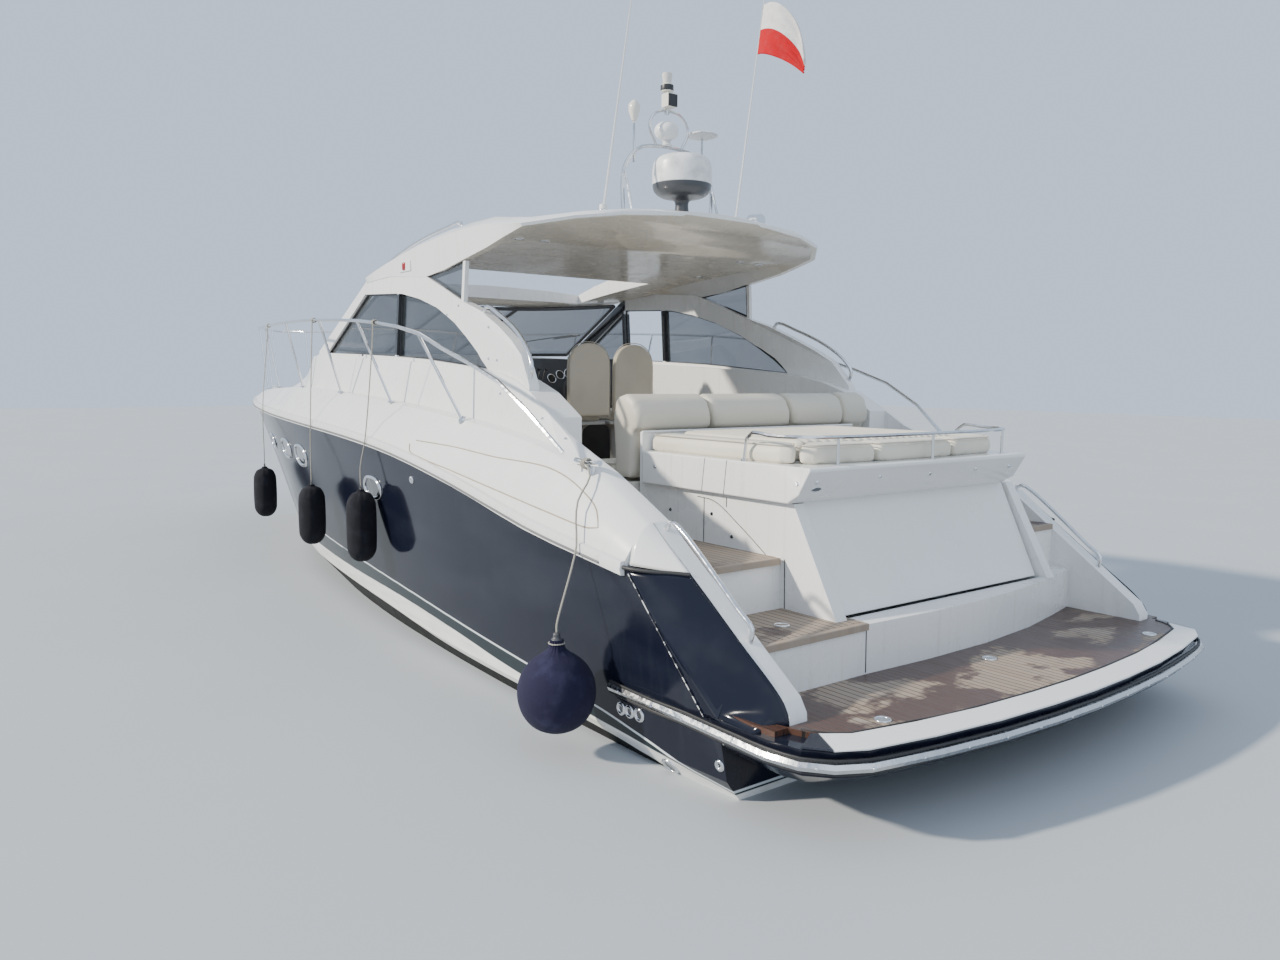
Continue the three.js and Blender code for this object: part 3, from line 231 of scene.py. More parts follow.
# Fender lines: four thin three-strand ropes, worn grey, tied to the bow rail or the port quarter cleat.
# Each hangs over the gunwale strake and ends in its fender's eye, and follows the route of its solid.
LINES = {
    "fore": [(2.2, 1.65, 2.748), (2.2, 1.655, 2.632), (1.882, 1.826, 1.795), (1.71, 1.877, 1.32), (1.71, 1.877, 1.17)],
    "mid": [(-0.33, 1.987, 2.692), (-0.33, 1.992, 2.576), (-0.428, 2.063, 1.723), (-0.48, 2.087, 1.33),
            (-0.48, 2.087, 1.18)],
    "aft": [(-1.955, 2.047, 2.606), (-1.955, 2.052, 2.49), (-1.848, 2.092, 1.642), (-1.79, 2.114, 1.41),
            (-1.79, 2.114, 1.26)],
    "ball": [(-4.77, 1.862, 1.66), (-4.8, 1.872, 1.655), (-4.89, 1.905, 1.585), (-4.93, 2.018, 1.45),
             (-4.965, 2.055, 1.33), (-5.01, 2.081, 1.2), (-5.1, 2.275, 0.775), (-5.1, 2.275, 0.735)],
}
LINE_RADIUS = {"fore": 0.005, "mid": 0.005, "aft": 0.005, "ball": 0.006}
LINE_STEP, TWIST = 0.07, 520


def walk(knots, step):
    """Points along the smooth centripetal curve through a few knots, about a step apart."""
    knots = [Vector(k) for k in knots]
    ends = [2 * knots[0] - knots[1], *knots, 2 * knots[-1] - knots[-2]]
    points = [knots[0]]
    for a, b, c, d in zip(ends, ends[1:], ends[2:], ends[3:]):
        first, mid, last = ((q - p).length ** 0.5 for p, q in ((a, b), (b, c), (c, d)))
        leave = ((b - a) / first - (c - a) / (first + mid) + (c - b) / mid) * mid
        arrive = ((c - b) / mid - (d - b) / (mid + last) + (d - c) / last) * mid
        count = max(1, round((c - b).length / step))
        for i in range(1, count + 1):
            t = i / count
            points.append(b * (2 * t**3 - 3 * t**2 + 1) + leave * (t**3 - 2 * t**2 + t)
                          + c * (3 * t**2 - 2 * t**3) + arrive * (t**3 - t**2))
    return points


# The strands are painted darker along the grooves between them, following the twist: painted shade.
rope = Finish("three_strand_rope", "rope", (0.42, 0.39, 0.32), 0.9)
twist = rope.sum("SINE", rope.times(rope.plus(rope.z, rope.plus(rope.x, rope.y)), TWIST))
rope.colour(rope.mix(rope.ramp(twist, -1, 1), (0.2, 0.185, 0.15), (0.52, 0.49, 0.42))).bump(twist, 0.0012)


def fit(made, finish, *replaced, body="boat", slot=None):
    """Gives a piece its material and its body, and hides the solids it stands for. Its slot argument is not used."""
    if not made.data.materials:
        made.data.materials.append(finish.material)
    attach(made, body)
    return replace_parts(made, *replaced) if replaced else made


def rope_line(word):
    """A rope on its solid's route, as a curve of one open spline, and its length."""
    data = bpy.data.curves.new(f"fender_rope_{word}", "CURVE")
    data.dimensions, data.bevel_depth, data.bevel_resolution, data.use_fill_caps = "3D", LINE_RADIUS[word], 3, True
    points = walk(LINES[word], LINE_STEP)
    spline = data.splines.new("POLY")
    spline.points.add(len(points) - 1)
    for spot, p in zip(spline.points, points):
        spot.co = (*p, 1)
    line = fit(placed(f"fender_rope_{word}", data), rope, f"fender_line_{word}")
    return line, sum((q - p).length for p, q in zip(points, points[1:]))


ropes = {word: rope_line(word) for word in LINES}

# Turned knots: each rope goes three or four times round the rail or the cleat before it hangs.
# Fibre rope again, laid turn on turn.
RAIL_KNOTS = {"fore": (2.2, 1.633, 2.752), "mid": (-0.33, 1.97, 2.696), "aft": (-1.955, 2.03, 2.61)}


def smooth_by_angle(made, angle=180):
    """Shades a piece smooth, with its sharper edges left crisp."""
    made.data.polygons.foreach_set("use_smooth", [True] * len(made.data.polygons))
    if angle < 180:
        made.data.set_sharp_from_angle(angle=math.radians(angle))
    return made


def tree_of(name, **kinds):
    """A Geometry Nodes tree with a mesh in, a mesh out and named inputs, and its input node."""
    tree = bpy.data.node_groups.new(name, "GeometryNodeTree")
    for way in ("INPUT", "OUTPUT"):
        tree.interface.new_socket("Geometry", in_out=way, socket_type="NodeSocketGeometry")
    for label, kind in kinds.items():
        tree.interface.new_socket(label, in_out="INPUT", socket_type="NodeSocket" + kind)
    return tree, tree.nodes.new("NodeGroupInput").outputs


def node_in(tree, kind, **feeds):
    """A node of a Geometry Nodes tree with inputs fed by name."""
    made = tree.nodes.new(kind)
    for name, value in feeds.items():
        if name.islower():
            setattr(made, name, value)
        elif isinstance(value, bpy.types.NodeSocket):
            tree.links.new(value, made.inputs[name.replace("_", " ")])
        else:
            made.inputs[name.replace("_", " ")].default_value = value
    return made.outputs


def ended(tree, solid, finish):
    """Ends a tree: its instances are made real and take the finish."""
    real = node_in(tree, "GeometryNodeRealizeInstances", Geometry=solid)[0]
    done = node_in(tree, "GeometryNodeSetMaterial", Geometry=real, Material=finish)[0]
    node_in(tree, "NodeGroupOutput", Geometry=done)


def settle(made):
    """Applies a piece's modifiers to its mesh."""
    bpy.context.view_layer.update()
    solid = bpy.data.meshes.new_from_object(made.evaluated_get(bpy.context.evaluated_depsgraph_get()))
    made.modifiers.clear()
    made.data = solid
    return made


def grown(made, tree, finish, **sizes):
    """The piece that a tree makes of a base mesh, as a plain mesh."""
    grower = made.modifiers.new("grown", "NODES")
    grower.node_group = tree
    sizes["Finish"] = finish.material
    for item in tree.interface.items_tree:
        if item.in_out == "INPUT" and item.name in sizes:
            grower[item.identifier] = sizes[item.name]
    return settle(made)


bar_tree, bar_in = tree_of("bar_along_a_path", Radius="Float", Sides="Int", Finish="Material")
bar_path = node_in(bar_tree, "GeometryNodeMeshToCurve", Mesh=bar_in["Geometry"])[0]
bar_ring = node_in(bar_tree, "GeometryNodeCurvePrimitiveCircle", Resolution=bar_in["Sides"], Radius=bar_in["Radius"])[0]
bar_solid = node_in(bar_tree, "GeometryNodeCurveToMesh", Curve=bar_path, Profile_Curve=bar_ring, Fill_Caps=True)[0]
ended(bar_tree, bar_solid, bar_in["Finish"])


def bars(name, paths, radius, finish, sides=8, closed=False, body="boat", replaced=()):
    """Round bars, cords of trim or welded rings along paths, as one fitted piece."""
    points, edges = [], []
    for path in paths:
        start = len(points)
        points += path
        edges += [(start + i, start + i + 1) for i in range(len(path) - 1)]
        if closed:
            edges.append((start + len(path) - 1, start))
    made = grown(mesh_piece(name, points, [], edges), bar_tree, finish, Radius=radius, Sides=sides)
    return fit(smooth_by_angle(made, 60), finish, *replaced, body=body)


def ring(centre, axis, radius, count=24, wide=1.0):
    """Points of a ring about a centre, square to an axis."""
    axis = Vector(axis).normalized()
    side = axis.orthogonal().normalized() if abs(axis.z) > 0.9 else Vector((0, 0, 1)).cross(axis).normalized()
    other = axis.cross(side)
    turns = (2 * math.pi * i / count for i in range(count))
    return [Vector(centre) + side * (wide * radius * math.cos(a)) + other * (radius * math.sin(a)) for a in turns]


def coil(centre, axis, radius, pitch, turns, per_turn=14):
    """Points of a coil about an axis, centred on a point."""
    axis = Vector(axis).normalized()
    side = axis.orthogonal().normalized()
    other = axis.cross(side)
    spots = []
    for i in range(turns * per_turn + 1):
        a = 2 * math.pi * i / per_turn
        spots.append(Vector(centre) + side * (radius * math.cos(a)) + other * (radius * math.sin(a))
                     + axis * (pitch * (i / per_turn - turns / 2)))
    return spots


knots_tied = {word: bars(f"rail_knot_{word}", [coil(centre, (1, -0.12, 0.03), 0.0205, 0.0105, 4)], 0.005, rope, 6)
              for word, centre in RAIL_KNOTS.items()}
cleat_turns = coil((-4.79, 1.862, 1.655), (1, 0.1, 0), 0.03, 0.0125, 3)
knots_tied["ball"] = bars("cleat_turns", [cleat_turns], 0.006, rope, 6)

# Long fenders and the round one: blown vinyl in navy knitted covers, drawn in with a cord at the neck.
# The covers crease round the neck and foot, are a little dusty and show the vinyl's moulded eye.
FENDER_LENGTHS = {"fore": 0.56, "mid": 0.56, "aft": 0.6}
BALL_AT, BALL_TIE = (-5.1, 2.275, 0.383), 0.29
BALL_KNOTS = [(0.003, -0.231), (0.07, -0.221), (0.15, -0.178), (0.205, -0.1), (0.226, 0), (0.208, 0.1), (0.158, 0.175),
              (0.098, 0.222), (0.058, 0.25), (0.044, 0.282), (0.04, 0.31)]


def cover(name, slot, dark, dusty, weave):
    """Knitted or smooth cover cloth, dusty in patches."""
    cloth = Finish(name, slot, dark, 0.85, Sheen_Weight=0.02, Sheen_Roughness=0.6, Specular_IOR_Level=0.3)
    cloth.colour(cloth.mix(cloth.patches(0.5, 0.85, 9, 5), dark, dusty))
    knit = cloth.woven(cloth.z, cloth.plus(cloth.x, cloth.y), weave)
    return cloth.bump(knit, 0.0008).bump(cloth.noise(22, 3), 0.006, 0.5)


sock = cover("knitted_cover", "fender_sock", (0.003, 0.003, 0.007), (0.018, 0.018, 0.026), 900)
ball_cloth = cover("ball_cover", "fender_vinyl", (0.008, 0.007, 0.03), (0.03, 0.028, 0.07), 700)
eye_vinyl = mottled("moulded_eye", "fender_vinyl", 0.45, (0.04, 0.04, 0.045), (0.08, 0.08, 0.085), (30,))


def stacked(rows, count):
    """Faces that join rings of a few points each and close both ends."""
    faces = [(j * count + i, j * count + (i + 1) % count, (j + 1) * count + (i + 1) % count, (j + 1) * count + i)
             for j in range(rows - 1) for i in range(count)]
    return faces + [tuple(range(count))[::-1], tuple(range((rows - 1) * count, rows * count))]


def turned(name, knots, step, centre, finish, *replaced, count=48, folds=0, depth=0.0, crease=(0, 1)):
    """A body turned about an upright axis from knots of (radius, height), with folds where it is drawn in."""
    profile = [(max(p.x, 0.002), p.z) for p in walk([(r, 0, z) for r, z in knots], step)]
    points, low, high = [], profile[0][1], profile[-1][1]
    for radius, height in profile:
        share = (height - low) / (high - low)
        pull = max(0.0, 1 - abs(share - crease[0]) / 0.12) + max(0.0, 1 - abs(share - crease[1]) / 0.2)
        for i in range(count):
            a = 2 * math.pi * i / count
            r = radius * (1 - depth * min(pull, 1.0) * (0.5 + 0.5 * math.sin(folds * a + 2 * math.sin(3 * a))))
            points.append((centre[0] + r * math.cos(a), centre[1] + r * math.sin(a), centre[2] + height))
    made = mesh_piece(name, points, stacked(len(profile), count))
    return fit(smooth_by_angle(made, 50), finish, *replaced)


for word, length in FENDER_LENGTHS.items():
    low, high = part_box(f"fender_{word}")
    centre = ((low.x + high.x) / 2, (low.y + high.y) / 2, low.z)
    body_knots = [(0.003, 0), (0.045, 0.004), (0.088, 0.035), (0.116, 0.09), (0.122, 0.15), (0.122, length - 0.15),
                  (0.114, length - 0.08), (0.082, length - 0.025), (0.034, length - 0.004), (0.026, length + 0.012)]
    turned(f"long_fender_{word}", body_knots, 0.022, centre, sock, f"fender_{word}", folds=13, depth=0.14)
    eye_ring = ring((centre[0], centre[1], low.z + length + 0.028), (0, 1, 0), 0.017, 18)
    bars(f"fender_eye_{word}", [eye_ring], 0.006, eye_vinyl, closed=True)
turned("round_fender", BALL_KNOTS, 0.02, BALL_AT, ball_cloth, "ball_fender", count=64,
       folds=15, depth=0.16, crease=(-1, 1))
neck = turned("ball_neck", [(0.03, 0.296), (0.034, 0.308), (0.022, 0.322), (0.02, 0.344), (0.012, 0.35)], 0.006,
              BALL_AT, eye_vinyl, count=24)
tie_at = (*BALL_AT[:2], BALL_AT[2] + BALL_TIE)
bars("ball_cover_tie", [ring(tie_at, (0, 0, 1), 0.045, 24)], 0.004, rope, 6, closed=True)

# Hull: one glass-fibre moulding, painted a very dark glossy blue above a white boot stripe.
# A light line runs over a darker band, the bottom is matt black paint, and the topsides carry salt and scuffs.
LIGHT_LINE = [(-6.3, 0.03), (-6.0, 0.075), (-5.43, 0.174), (-5.05, 0.22), (-3.6, 0.329), (-2.3, 0.417),
              (-0.13, 0.528), (3.0, 0.66), (7.1, 0.8)]
STRIPE_TOP = [(-6.3, 0.0), (-6.0, 0.06), (-5.43, 0.128), (-5.0, 0.145), (-4.1, 0.19), (-3.05, 0.279),
              (-2.0, 0.33), (-0.6, 0.352), (3.0, 0.44), (7.1, 0.56)]
STRIPE_FOOT = [(-6.3, -0.1), (-5.8, -0.03), (-5.4, 0.045), (-5.07, 0.075), (-4.06, 0.09), (-2.95, 0.11),
               (-1.96, 0.172), (-0.5, 0.211), (3.0, 0.28), (7.1, 0.38)]
NAVY, NAVY_SALT = (0.006, 0.0075, 0.016), (0.028, 0.032, 0.045)
BAND_PAINT, LINE_PAINT = (0.01, 0.018, 0.022), (0.62, 0.66, 0.68)
STRIPE_WHITE, STRIPE_STAIN = (0.78, 0.78, 0.76), (0.6, 0.6, 0.53)
BOTTOM_PAINT, SLIME = (0.008, 0.008, 0.009), (0.02, 0.026, 0.02)
SEAM_DARK, SEAM_CHIP = (0.03, 0.033, 0.045), (0.6, 0.6, 0.58)
QUARTER_SEAM = ((-5.398, 1.145), (-6.036, 0.473))
HULL_HALF, CURVE_LIFT = 7.2, 0.2


def levels(finish, table):
    """The height above a line that follows a table of (x, z) along the hull."""
    made = finish.nodes.new("ShaderNodeFloatCurve")
    curve = made.mapping.curves[0]
    spots = [((x + HULL_HALF) / (2 * HULL_HALF), z + CURVE_LIFT) for x, z in table]
    curve.points[0].location, curve.points[-1].location = spots[0], spots[-1]
    for spot in spots[1:-1]:
        curve.points.new(*spot)
    made.mapping.update()
    finish.links.new(finish.ramp(finish.x, -HULL_HALF, HULL_HALF), made.inputs["Value"])
    return finish.less(finish.less(finish.z, made.outputs[0]), -CURVE_LIFT)


def beside(finish, start, end):
    """The distance of a point from a line in the x, z plane, signed."""
    run, rise = end[0] - start[0], end[1] - start[1]
    size = math.hypot(run, rise)
    return finish.plus(finish.times(finish.less(finish.x, start[0]), -rise / size),
                       finish.times(finish.less(finish.z, start[1]), run / size))


topsides = Finish("navy_topsides", "topsides", NAVY, 0.09, IOR=1.36)
off_line, off_top, off_foot = (levels(topsides, t) for t in (LIGHT_LINE, STRIPE_TOP, STRIPE_FOOT))
stripe = topsides.mix(topsides.patches(0.45, 0.8, 7, 5, (0.35, 1, 3)), STRIPE_WHITE, STRIPE_STAIN)
bottom = topsides.mix(topsides.patches(0.4, 0.75, 12, 5), BOTTOM_PAINT, SLIME)
on_seam = topsides.times(topsides.band(beside(topsides, *QUARTER_SEAM), -0.006, 0.006, 0.003),
                         topsides.ramp(topsides.x, -5.3, -5.42))
salt = topsides.times(topsides.patches(0.48, 0.8, 1.6, 6, (0.5, 1, 2.2)), 0.45)
streaks = topsides.times(topsides.patches(0.5, 0.8, 30, 3, (1, 1, 0.06)), 0.2)
topsides.colour(topsides.mix(salt, NAVY, NAVY_SALT)).over(streaks, NAVY_SALT)
topsides.over(topsides.ramp(off_line, 0.004, -0.004), BAND_PAINT)
topsides.over(topsides.band(off_line, -0.007, 0.007), LINE_PAINT)
topsides.over(topsides.ramp(off_top, 0.003, -0.003), stripe).over(topsides.ramp(off_foot, 0.004, -0.004), bottom)
topsides.over(topsides.times(on_seam, 0.8), SEAM_DARK)
topsides.over(topsides.times(on_seam, topsides.patches(0.6, 0.66, 38, 4)), SEAM_CHIP)
worn = topsides.ramp(topsides.noise(0.8, 2), 0.35, 0.7, 0.07, 0.2)
topsides.rough(topsides.plus(worn, topsides.ramp(off_foot, -0.004, 0.004, 0.7, 0.0)))
topsides.bump(topsides.noise(2.2, 2, (0.4, 1, 1)), 0.004, 0.35).bump(on_seam, -0.004)
MERGE, SLIVER, FLAT, BEVEL_ANGLE = 3e-5, 1e-5, math.radians(0.4), math.radians(34)


def dressed(node, finish, crease, bevel=0.0, body="boat"):
    """A solid's own shape as one merged, smoothly shaded piece with eased edges."""
    data = cad[node].data.copy()
    shape = bmesh.new()
    shape.from_mesh(data)
    bmesh.ops.remove_doubles(shape, verts=shape.verts, dist=MERGE)
    bmesh.ops.dissolve_degenerate(shape, edges=shape.edges, dist=SLIVER)
    bmesh.ops.dissolve_limit(shape, angle_limit=FLAT, verts=shape.verts, edges=shape.edges)
    for face in shape.faces:
        face.material_index = 0
    shape.to_mesh(data)
    shape.free()
    if "custom_normal" in data.attributes:
        data.attributes.remove(data.attributes["custom_normal"])
    data.materials.clear()
    made = smooth_by_angle(placed(f"{node}_dressed", data), crease)
    if bevel:
        eased = made.modifiers.new("eased_edges", "BEVEL")
        eased.width, eased.segments, eased.limit_method = bevel, 2, "ANGLE"
        eased.angle_limit, eased.harden_normals = BEVEL_ANGLE, True
    return fit(made, finish, node, body=body)


dressed("hull", topsides, 24)

# Things let into the hull: oval ports in polished frames, discharge fittings and exhaust outlets.
# Cast and pressed stainless rings bedded on black sealant, with dark glass in the ports and, in the outlets, a flat
# dark disc that is painted shade for the bore.
PORTS = [(2.2, 1.39, 0.2, 0.088), (1.13, 1.377, 0.245, 0.104), (0.42, 1.349, 0.25, 0.11), (-1.75, 1.228, 0.19, 0.094)]
OUTLETS = [(-5.303, 0.28, 0.03), (-5.383, 0.284, 0.03), (-5.47, 0.29, 0.033), (-5.66, 0.035, 0.05),
           (-2.631, 1.373, 0.02), (-6.11, 0.2, 0.022)]
SIDES = {"port": 1, "starboard": -1}
UP, DOWN, OUTBOARD = Vector((0, 0, 1)), Vector((0, 0, -1)), 3
trees = {}


def touch(node, start, way):
    """Where a line from a point meets a solid, and the way the surface faces there."""
    if node not in trees:
        data = cad[node].data
        trees[node] = BVHTree.FromPolygons([v.co for v in data.vertices], [p.vertices for p in data.polygons])
    spot, facing, _, _ = trees[node].ray_cast(Vector(start), Vector(way).normalized())
    return spot, facing


def met(node, starts, way):
    """The spots where lines from some points meet a solid, each with the way it faces."""
    return [hit for hit in (touch(node, start, way) for start in starts) if hit[0]]


def abeam(node, side, places):
    """What lines in from one side meet at (x, z) places."""
    return met(node, [(x, side * OUTBOARD, z) for x, z in places], (0, -side, 0))


def above(node, places, height=4):
    """What lines down from above meet at (x, y) places."""
    return met(node, [(x, y, height) for x, y in places], DOWN)


def steel_finish(name, colour, roughness, slot="steel"):
    """Stainless steel with a fine polish, drying marks and light tea stain."""
    made = Finish(name, slot, colour, roughness, Metallic=1.0)
    made.colour(made.mix(made.patches(0.5, 0.8, 14, 5), colour, tuple(c * 0.82 for c in colour)))
    made.rough(made.ramp(made.noise(35, 4), 0.3, 0.75, roughness * 0.7, roughness * 1.9))
    return made.bump(made.noise(160, 2), 0.0003, 0.4)


polished = steel_finish("polished_steel", (0.72, 0.73, 0.75), 0.13)
sealant = mottled("black_sealant", "black_trim", 0.55, (0.01, 0.01, 0.011), (0.03, 0.03, 0.032), (40,), (200, 0.0004))
# Dark glass for the ports, dials and courtesy lights; the same finish on flat discs in the outlet bores and the lifting
# recess is painted shade.
glass_and_hollow_shade = mottled("dark_pane_and_hollow_shade", "black_trim", 0.04, (0.006, 0.008, 0.01), (0.02, 0.024, 0.03), (6,), None,
                     (0.4, 0.7), Coat_Weight=1.0, Coat_Roughness=0.02)


def disc(points, out, lift=0.0):
    """A filled outline as points and faces, lifted off its surface."""
    middle, count = sum(points, Vector()) / len(points) + out * lift, len(points)
    return [middle, *(p + out * lift for p in points)], [(0, i + 1, (i + 1) % count + 1) for i in range(count)]


def joined(shapes):
    """A few shapes, each as points and faces, as one."""
    points, faces = [], []
    for spots, fans in shapes:
        faces += [tuple(i + len(points) for i in f) for f in fans]
        points += spots
    return points, faces


def plate(name, shape, finish, **fitted):
    """A fitted piece from a shape's points and faces."""
    return fit(mesh_piece(name, *shape), finish, **fitted)


frames, beds, panes_and_bore_shade = [], [], []
for side in SIDES.values():
    for x, z, half, high in PORTS:
        turns = [2 * math.pi * i / 36 for i in range(36)]
        shell = abeam("hull", side, [(x + half * math.cos(a) * abs(math.cos(a)) ** -0.2, z + high * math.sin(a))
                                     for a in turns])
        out = sum((n for _, n in shell), Vector()).normalized()
        middle = sum((p for p, _ in shell), Vector()) / len(shell)
        inner = [middle + (p - middle) * 0.9 for p, _ in shell]
        frames += [[p + out * 0.002 for p, _ in shell], [p + out * 0.004 for p in inner]]
        beds.append([middle + (p - middle) * 1.06 - out * 0.002 for p, _ in shell])
        panes_and_bore_shade.append(disc(inner[::-side], out, 0.003))
    # Each outlet's bore is a flat dark disc lifted off its mouth: painted shade.
    for x, z, radius in OUTLETS:
        for spot, out in abeam("hull", side, [(x, z)]):
            circle = ring(spot, out, radius, 36)
            frames.append(circle)
            panes_and_bore_shade.append(disc([spot + (p - spot) * 0.9 for p in circle], out, 0.002))
bars("port_frames", frames, 0.0125, polished, closed=True)
bars("port_sealant", beds, 0.006, sealant, 6, closed=True)
plate("port_glazing_and_bore_shade", joined(panes_and_bore_shade), glass_and_hollow_shade, slot="glass")

# Gunwale moulding: a white capping over the joint of hull and deck, with a grey rubber insert in its face.
# The insert is a bead pushed into a groove from one quarter round the stem to the other.
SHEER = [(-5.4, 2.02, 1.12), (-5.0, 2.0347, 1.1701), (-4.5, 2.0483, 1.2361), (-4.0, 2.05, 1.3208), (-3.0, 2.05, 1.4894),
         (-2.0, 2.05, 1.61), (-1.0, 2.0362, 1.6759), (0.0, 1.997, 1.719), (1.0, 1.907, 1.75), (2.0, 1.7629, 1.7777),
         (3.0, 1.5634, 1.8012), (4.0, 1.2959, 1.8202), (5.0, 0.958, 1.8326), (6.0, 0.5444, 1.832),
         (7.0, 0.0814, 1.8114)]
WHITE, WHITE_STAIN = (0.79, 0.785, 0.765), (0.56, 0.53, 0.46)


def gelcoat(name, roughness, colour=WHITE, stain=WHITE_STAIN, grip=None):
    """Polished white gelcoat, a little uneven, with rain streaks, and a fine non-slip grain on decks."""
    made = Finish(name, "gelcoat", colour, roughness, Coat_Weight=0.35, Coat_Roughness=0.08)
    runs = made.times(made.patches(0.56, 0.8, 26, 3, (1, 1, 0.05)),
                      made.ramp(made.sum("ABSOLUTE", made.faces(2)), 0.5, 0.1))
    made.colour(made.mix(made.patches(0.35, 0.75, 0.9, 4), colour, tuple(c * 0.955 for c in colour)))
    made.over(made.times(runs, 0.45), stain)
    made.rough(made.ramp(made.noise(5, 4), 0.3, 0.7, roughness * 0.75, roughness * 1.35))
    made.bump(made.noise(3, 1), 0.003, 0.25).bump(made.noise(240, 2), 0.00025, 0.35)
    if grip:
        there = made.times(made.ramp(made.faces(2), 0.955, 0.975), made.band(made.z, *grip, 0.01))
        made.bump(made.times(there, made.pebble(170.0)), 0.0012)
    return made


capping = gelcoat("white_capping", 0.26)
dressed("gunwale_strake", capping, 40)
insert_rubber = mottled("grey_insert", "black_trim", 0.6, (0.09, 0.09, 0.095), (0.2, 0.2, 0.2), (9, 4), (90, 0.0006))
beads = [[spot + out * 0.001 for spot, out in
          abeam("gunwale_strake", side, [(p.x, p.z - 0.014) for p in walk(SHEER, 0.2)])] for side in SIDES.values()]
bars("gunwale_insert", beads, 0.0085, insert_rubber)

# Rubbing rail round the platform and low on the quarters: a steel half-round screwed to a black rubber backing.
# Its top is dinted and dull from berthing, and screws stand every hand's breadth.
RAIL_LEVEL = 0.4
EDGE = [(-5.23, 1.984), (-5.64, 1.995), (-5.9, 1.978), (-6.11, 1.985), (-6.3, 1.985), (-6.5, 1.985), (-6.68, 1.945),
        (-6.8, 1.85), (-6.88, 1.7), (-6.96, 1.3), (-7.02, 0.85), (-7.05, 0.4), (-7.06, 0)]
rubbed = steel_finish("rubbed_steel", (0.62, 0.63, 0.64), 0.22)
rubbed.bump(rubbed.noise(45, 3), 0.0022, 0.6)
dressed("rub_rail", rubbed, 40)


def round_stern(half):
    """A path on the port side, run on past the centreline to starboard."""
    return half + [Vector((p.x, -p.y, p.z)) for p in half[-2::-1]]


brink = round_stern(walk([(x, y, RAIL_LEVEL) for x, y in EDGE], 0.1))
backing = [[p + Vector((-0.008 if p.x < -6.55 else 0, math.copysign(0.008, p.y) if p.x > -6.7 else 0, shift))
            for p in brink] for shift in (-0.031, 0.031)]
bars("rub_rail_backing", backing, 0.009, sealant, 6)

STUD_TAPER = 0.72
stud_tree, stud_in = tree_of("studs_on_a_surface", Radius="Float", Depth="Float", Sides="Int", Finish="Material")
stud_way = stud_tree.nodes.new("GeometryNodeInputNamedAttribute")
stud_way.data_type = "FLOAT_VECTOR"
stud_way.inputs["Name"].default_value = "faces"
stud_turn = node_in(stud_tree, "FunctionNodeAlignRotationToVector", axis="Z", Vector=stud_way.outputs[0])[0]
stud_top = stud_tree.nodes.new("ShaderNodeMath")
stud_top.operation, stud_top.inputs[1].default_value = "MULTIPLY", STUD_TAPER
stud_tree.links.new(stud_in["Radius"], stud_top.inputs[0])
stud_body = node_in(stud_tree, "GeometryNodeMeshCone", Vertices=stud_in["Sides"], Radius_Bottom=stud_in["Radius"],
                    Radius_Top=stud_top.outputs[0], Depth=stud_in["Depth"])["Mesh"]
stud_spots = node_in(stud_tree, "GeometryNodeInstanceOnPoints", Points=stud_in["Geometry"], Instance=stud_body,
                     Rotation=stud_turn)[0]
ended(stud_tree, stud_spots, stud_in["Finish"])


def studs(name, spots, radius, depth, finish, sides=12, body="boat"):
    """Screw heads, press studs or caps on (point, facing) spots, as one fitted piece."""
    base = mesh_piece(name, [p for p, _ in spots], [])
    ways = base.data.attributes.new("faces", "FLOAT_VECTOR", "POINT")
    ways.data.foreach_set("vector", [c for _, way in spots for c in way])
    made = grown(base, stud_tree, finish, Radius=radius, Depth=depth, Sides=sides)
    return fit(smooth_by_angle(made, 40), finish, body=body)


screws = []
for p, q in zip(brink[1::3], brink[2::3]):
    run = (q - p).normalized()
    out = Vector((run.y, -run.x, 0)) * (1 if run.cross(Vector((p.x + 6.2, p.y, 0))).z < 0 else -1)
    screws += [hit for hit in met("rub_rail", [p + out * 0.3], -out) if (hit[0] - p).length < 0.1]
studs("rub_rail_screws", screws, 0.008, 0.005, polished, 10)

# Deck moulding: white gelcoat from the sheer to the window sills, moulded with side decks and coachroof.
# Walking surfaces have a fine non-slip grain, and a tan line of sealant follows the crease on each flank.
CREASE = [(-2.65, 1.68), (-3.2, 1.665), (-3.77, 1.63), (-4.45, 1.6), (-4.8, 1.51), (-5.03, 1.4), (-5.1, 1.31),
          (-5.02, 1.3), (-4.6, 1.345), (-3.9, 1.43), (-3.3, 1.505), (-2.87, 1.555), (-2.62, 1.6), (-2.57, 1.65)]
dressed("deck_moulding", gelcoat("deck_gelcoat", 0.3, grip=(1.3, 2.6)), 26, 0.008)
tan_seal = mottled("tan_sealant", "black_trim", 0.7, (0.26, 0.21, 0.13), (0.46, 0.38, 0.26), (12,), (120, 0.0006))
creases = [[spot + out * 0.0005 for spot, out in
            abeam("deck_moulding", side, [(p.x, p.z) for p in walk([(x, 0, z) for x, z in CREASE], 0.06)])]
           for side in SIDES.values()]
bars("flank_creases", creases, 0.0042, tan_seal, 6)

# Mooring cleats: cast stainless horns on two feet, through-bolted to the deck edge fore and aft.
# The horns taper and lift towards their tips.
CLEATS = [(-4.78, 1.845, 1.6), (-4.78, -1.845, 1.6), (5.7, 0.52, 1.935), (5.7, -0.52, 1.935)]
HORN = [(-0.133, 0.066), (-0.07, 0.059), (0.07, 0.059), (0.133, 0.066)]
horns = [walk([(x + along, y, z + up) for along, up in HORN], 0.02) for x, y, z in CLEATS]
feet = [[(x + d, y, z - 0.012), (x + d * 0.9, y, z + 0.058)] for x, y, z in CLEATS for d in (-0.045, 0.045)]
bars("cleat_horns", horns, 0.0165, polished, 14)
bars("cleat_feet", feet, 0.0185, polished, 14)

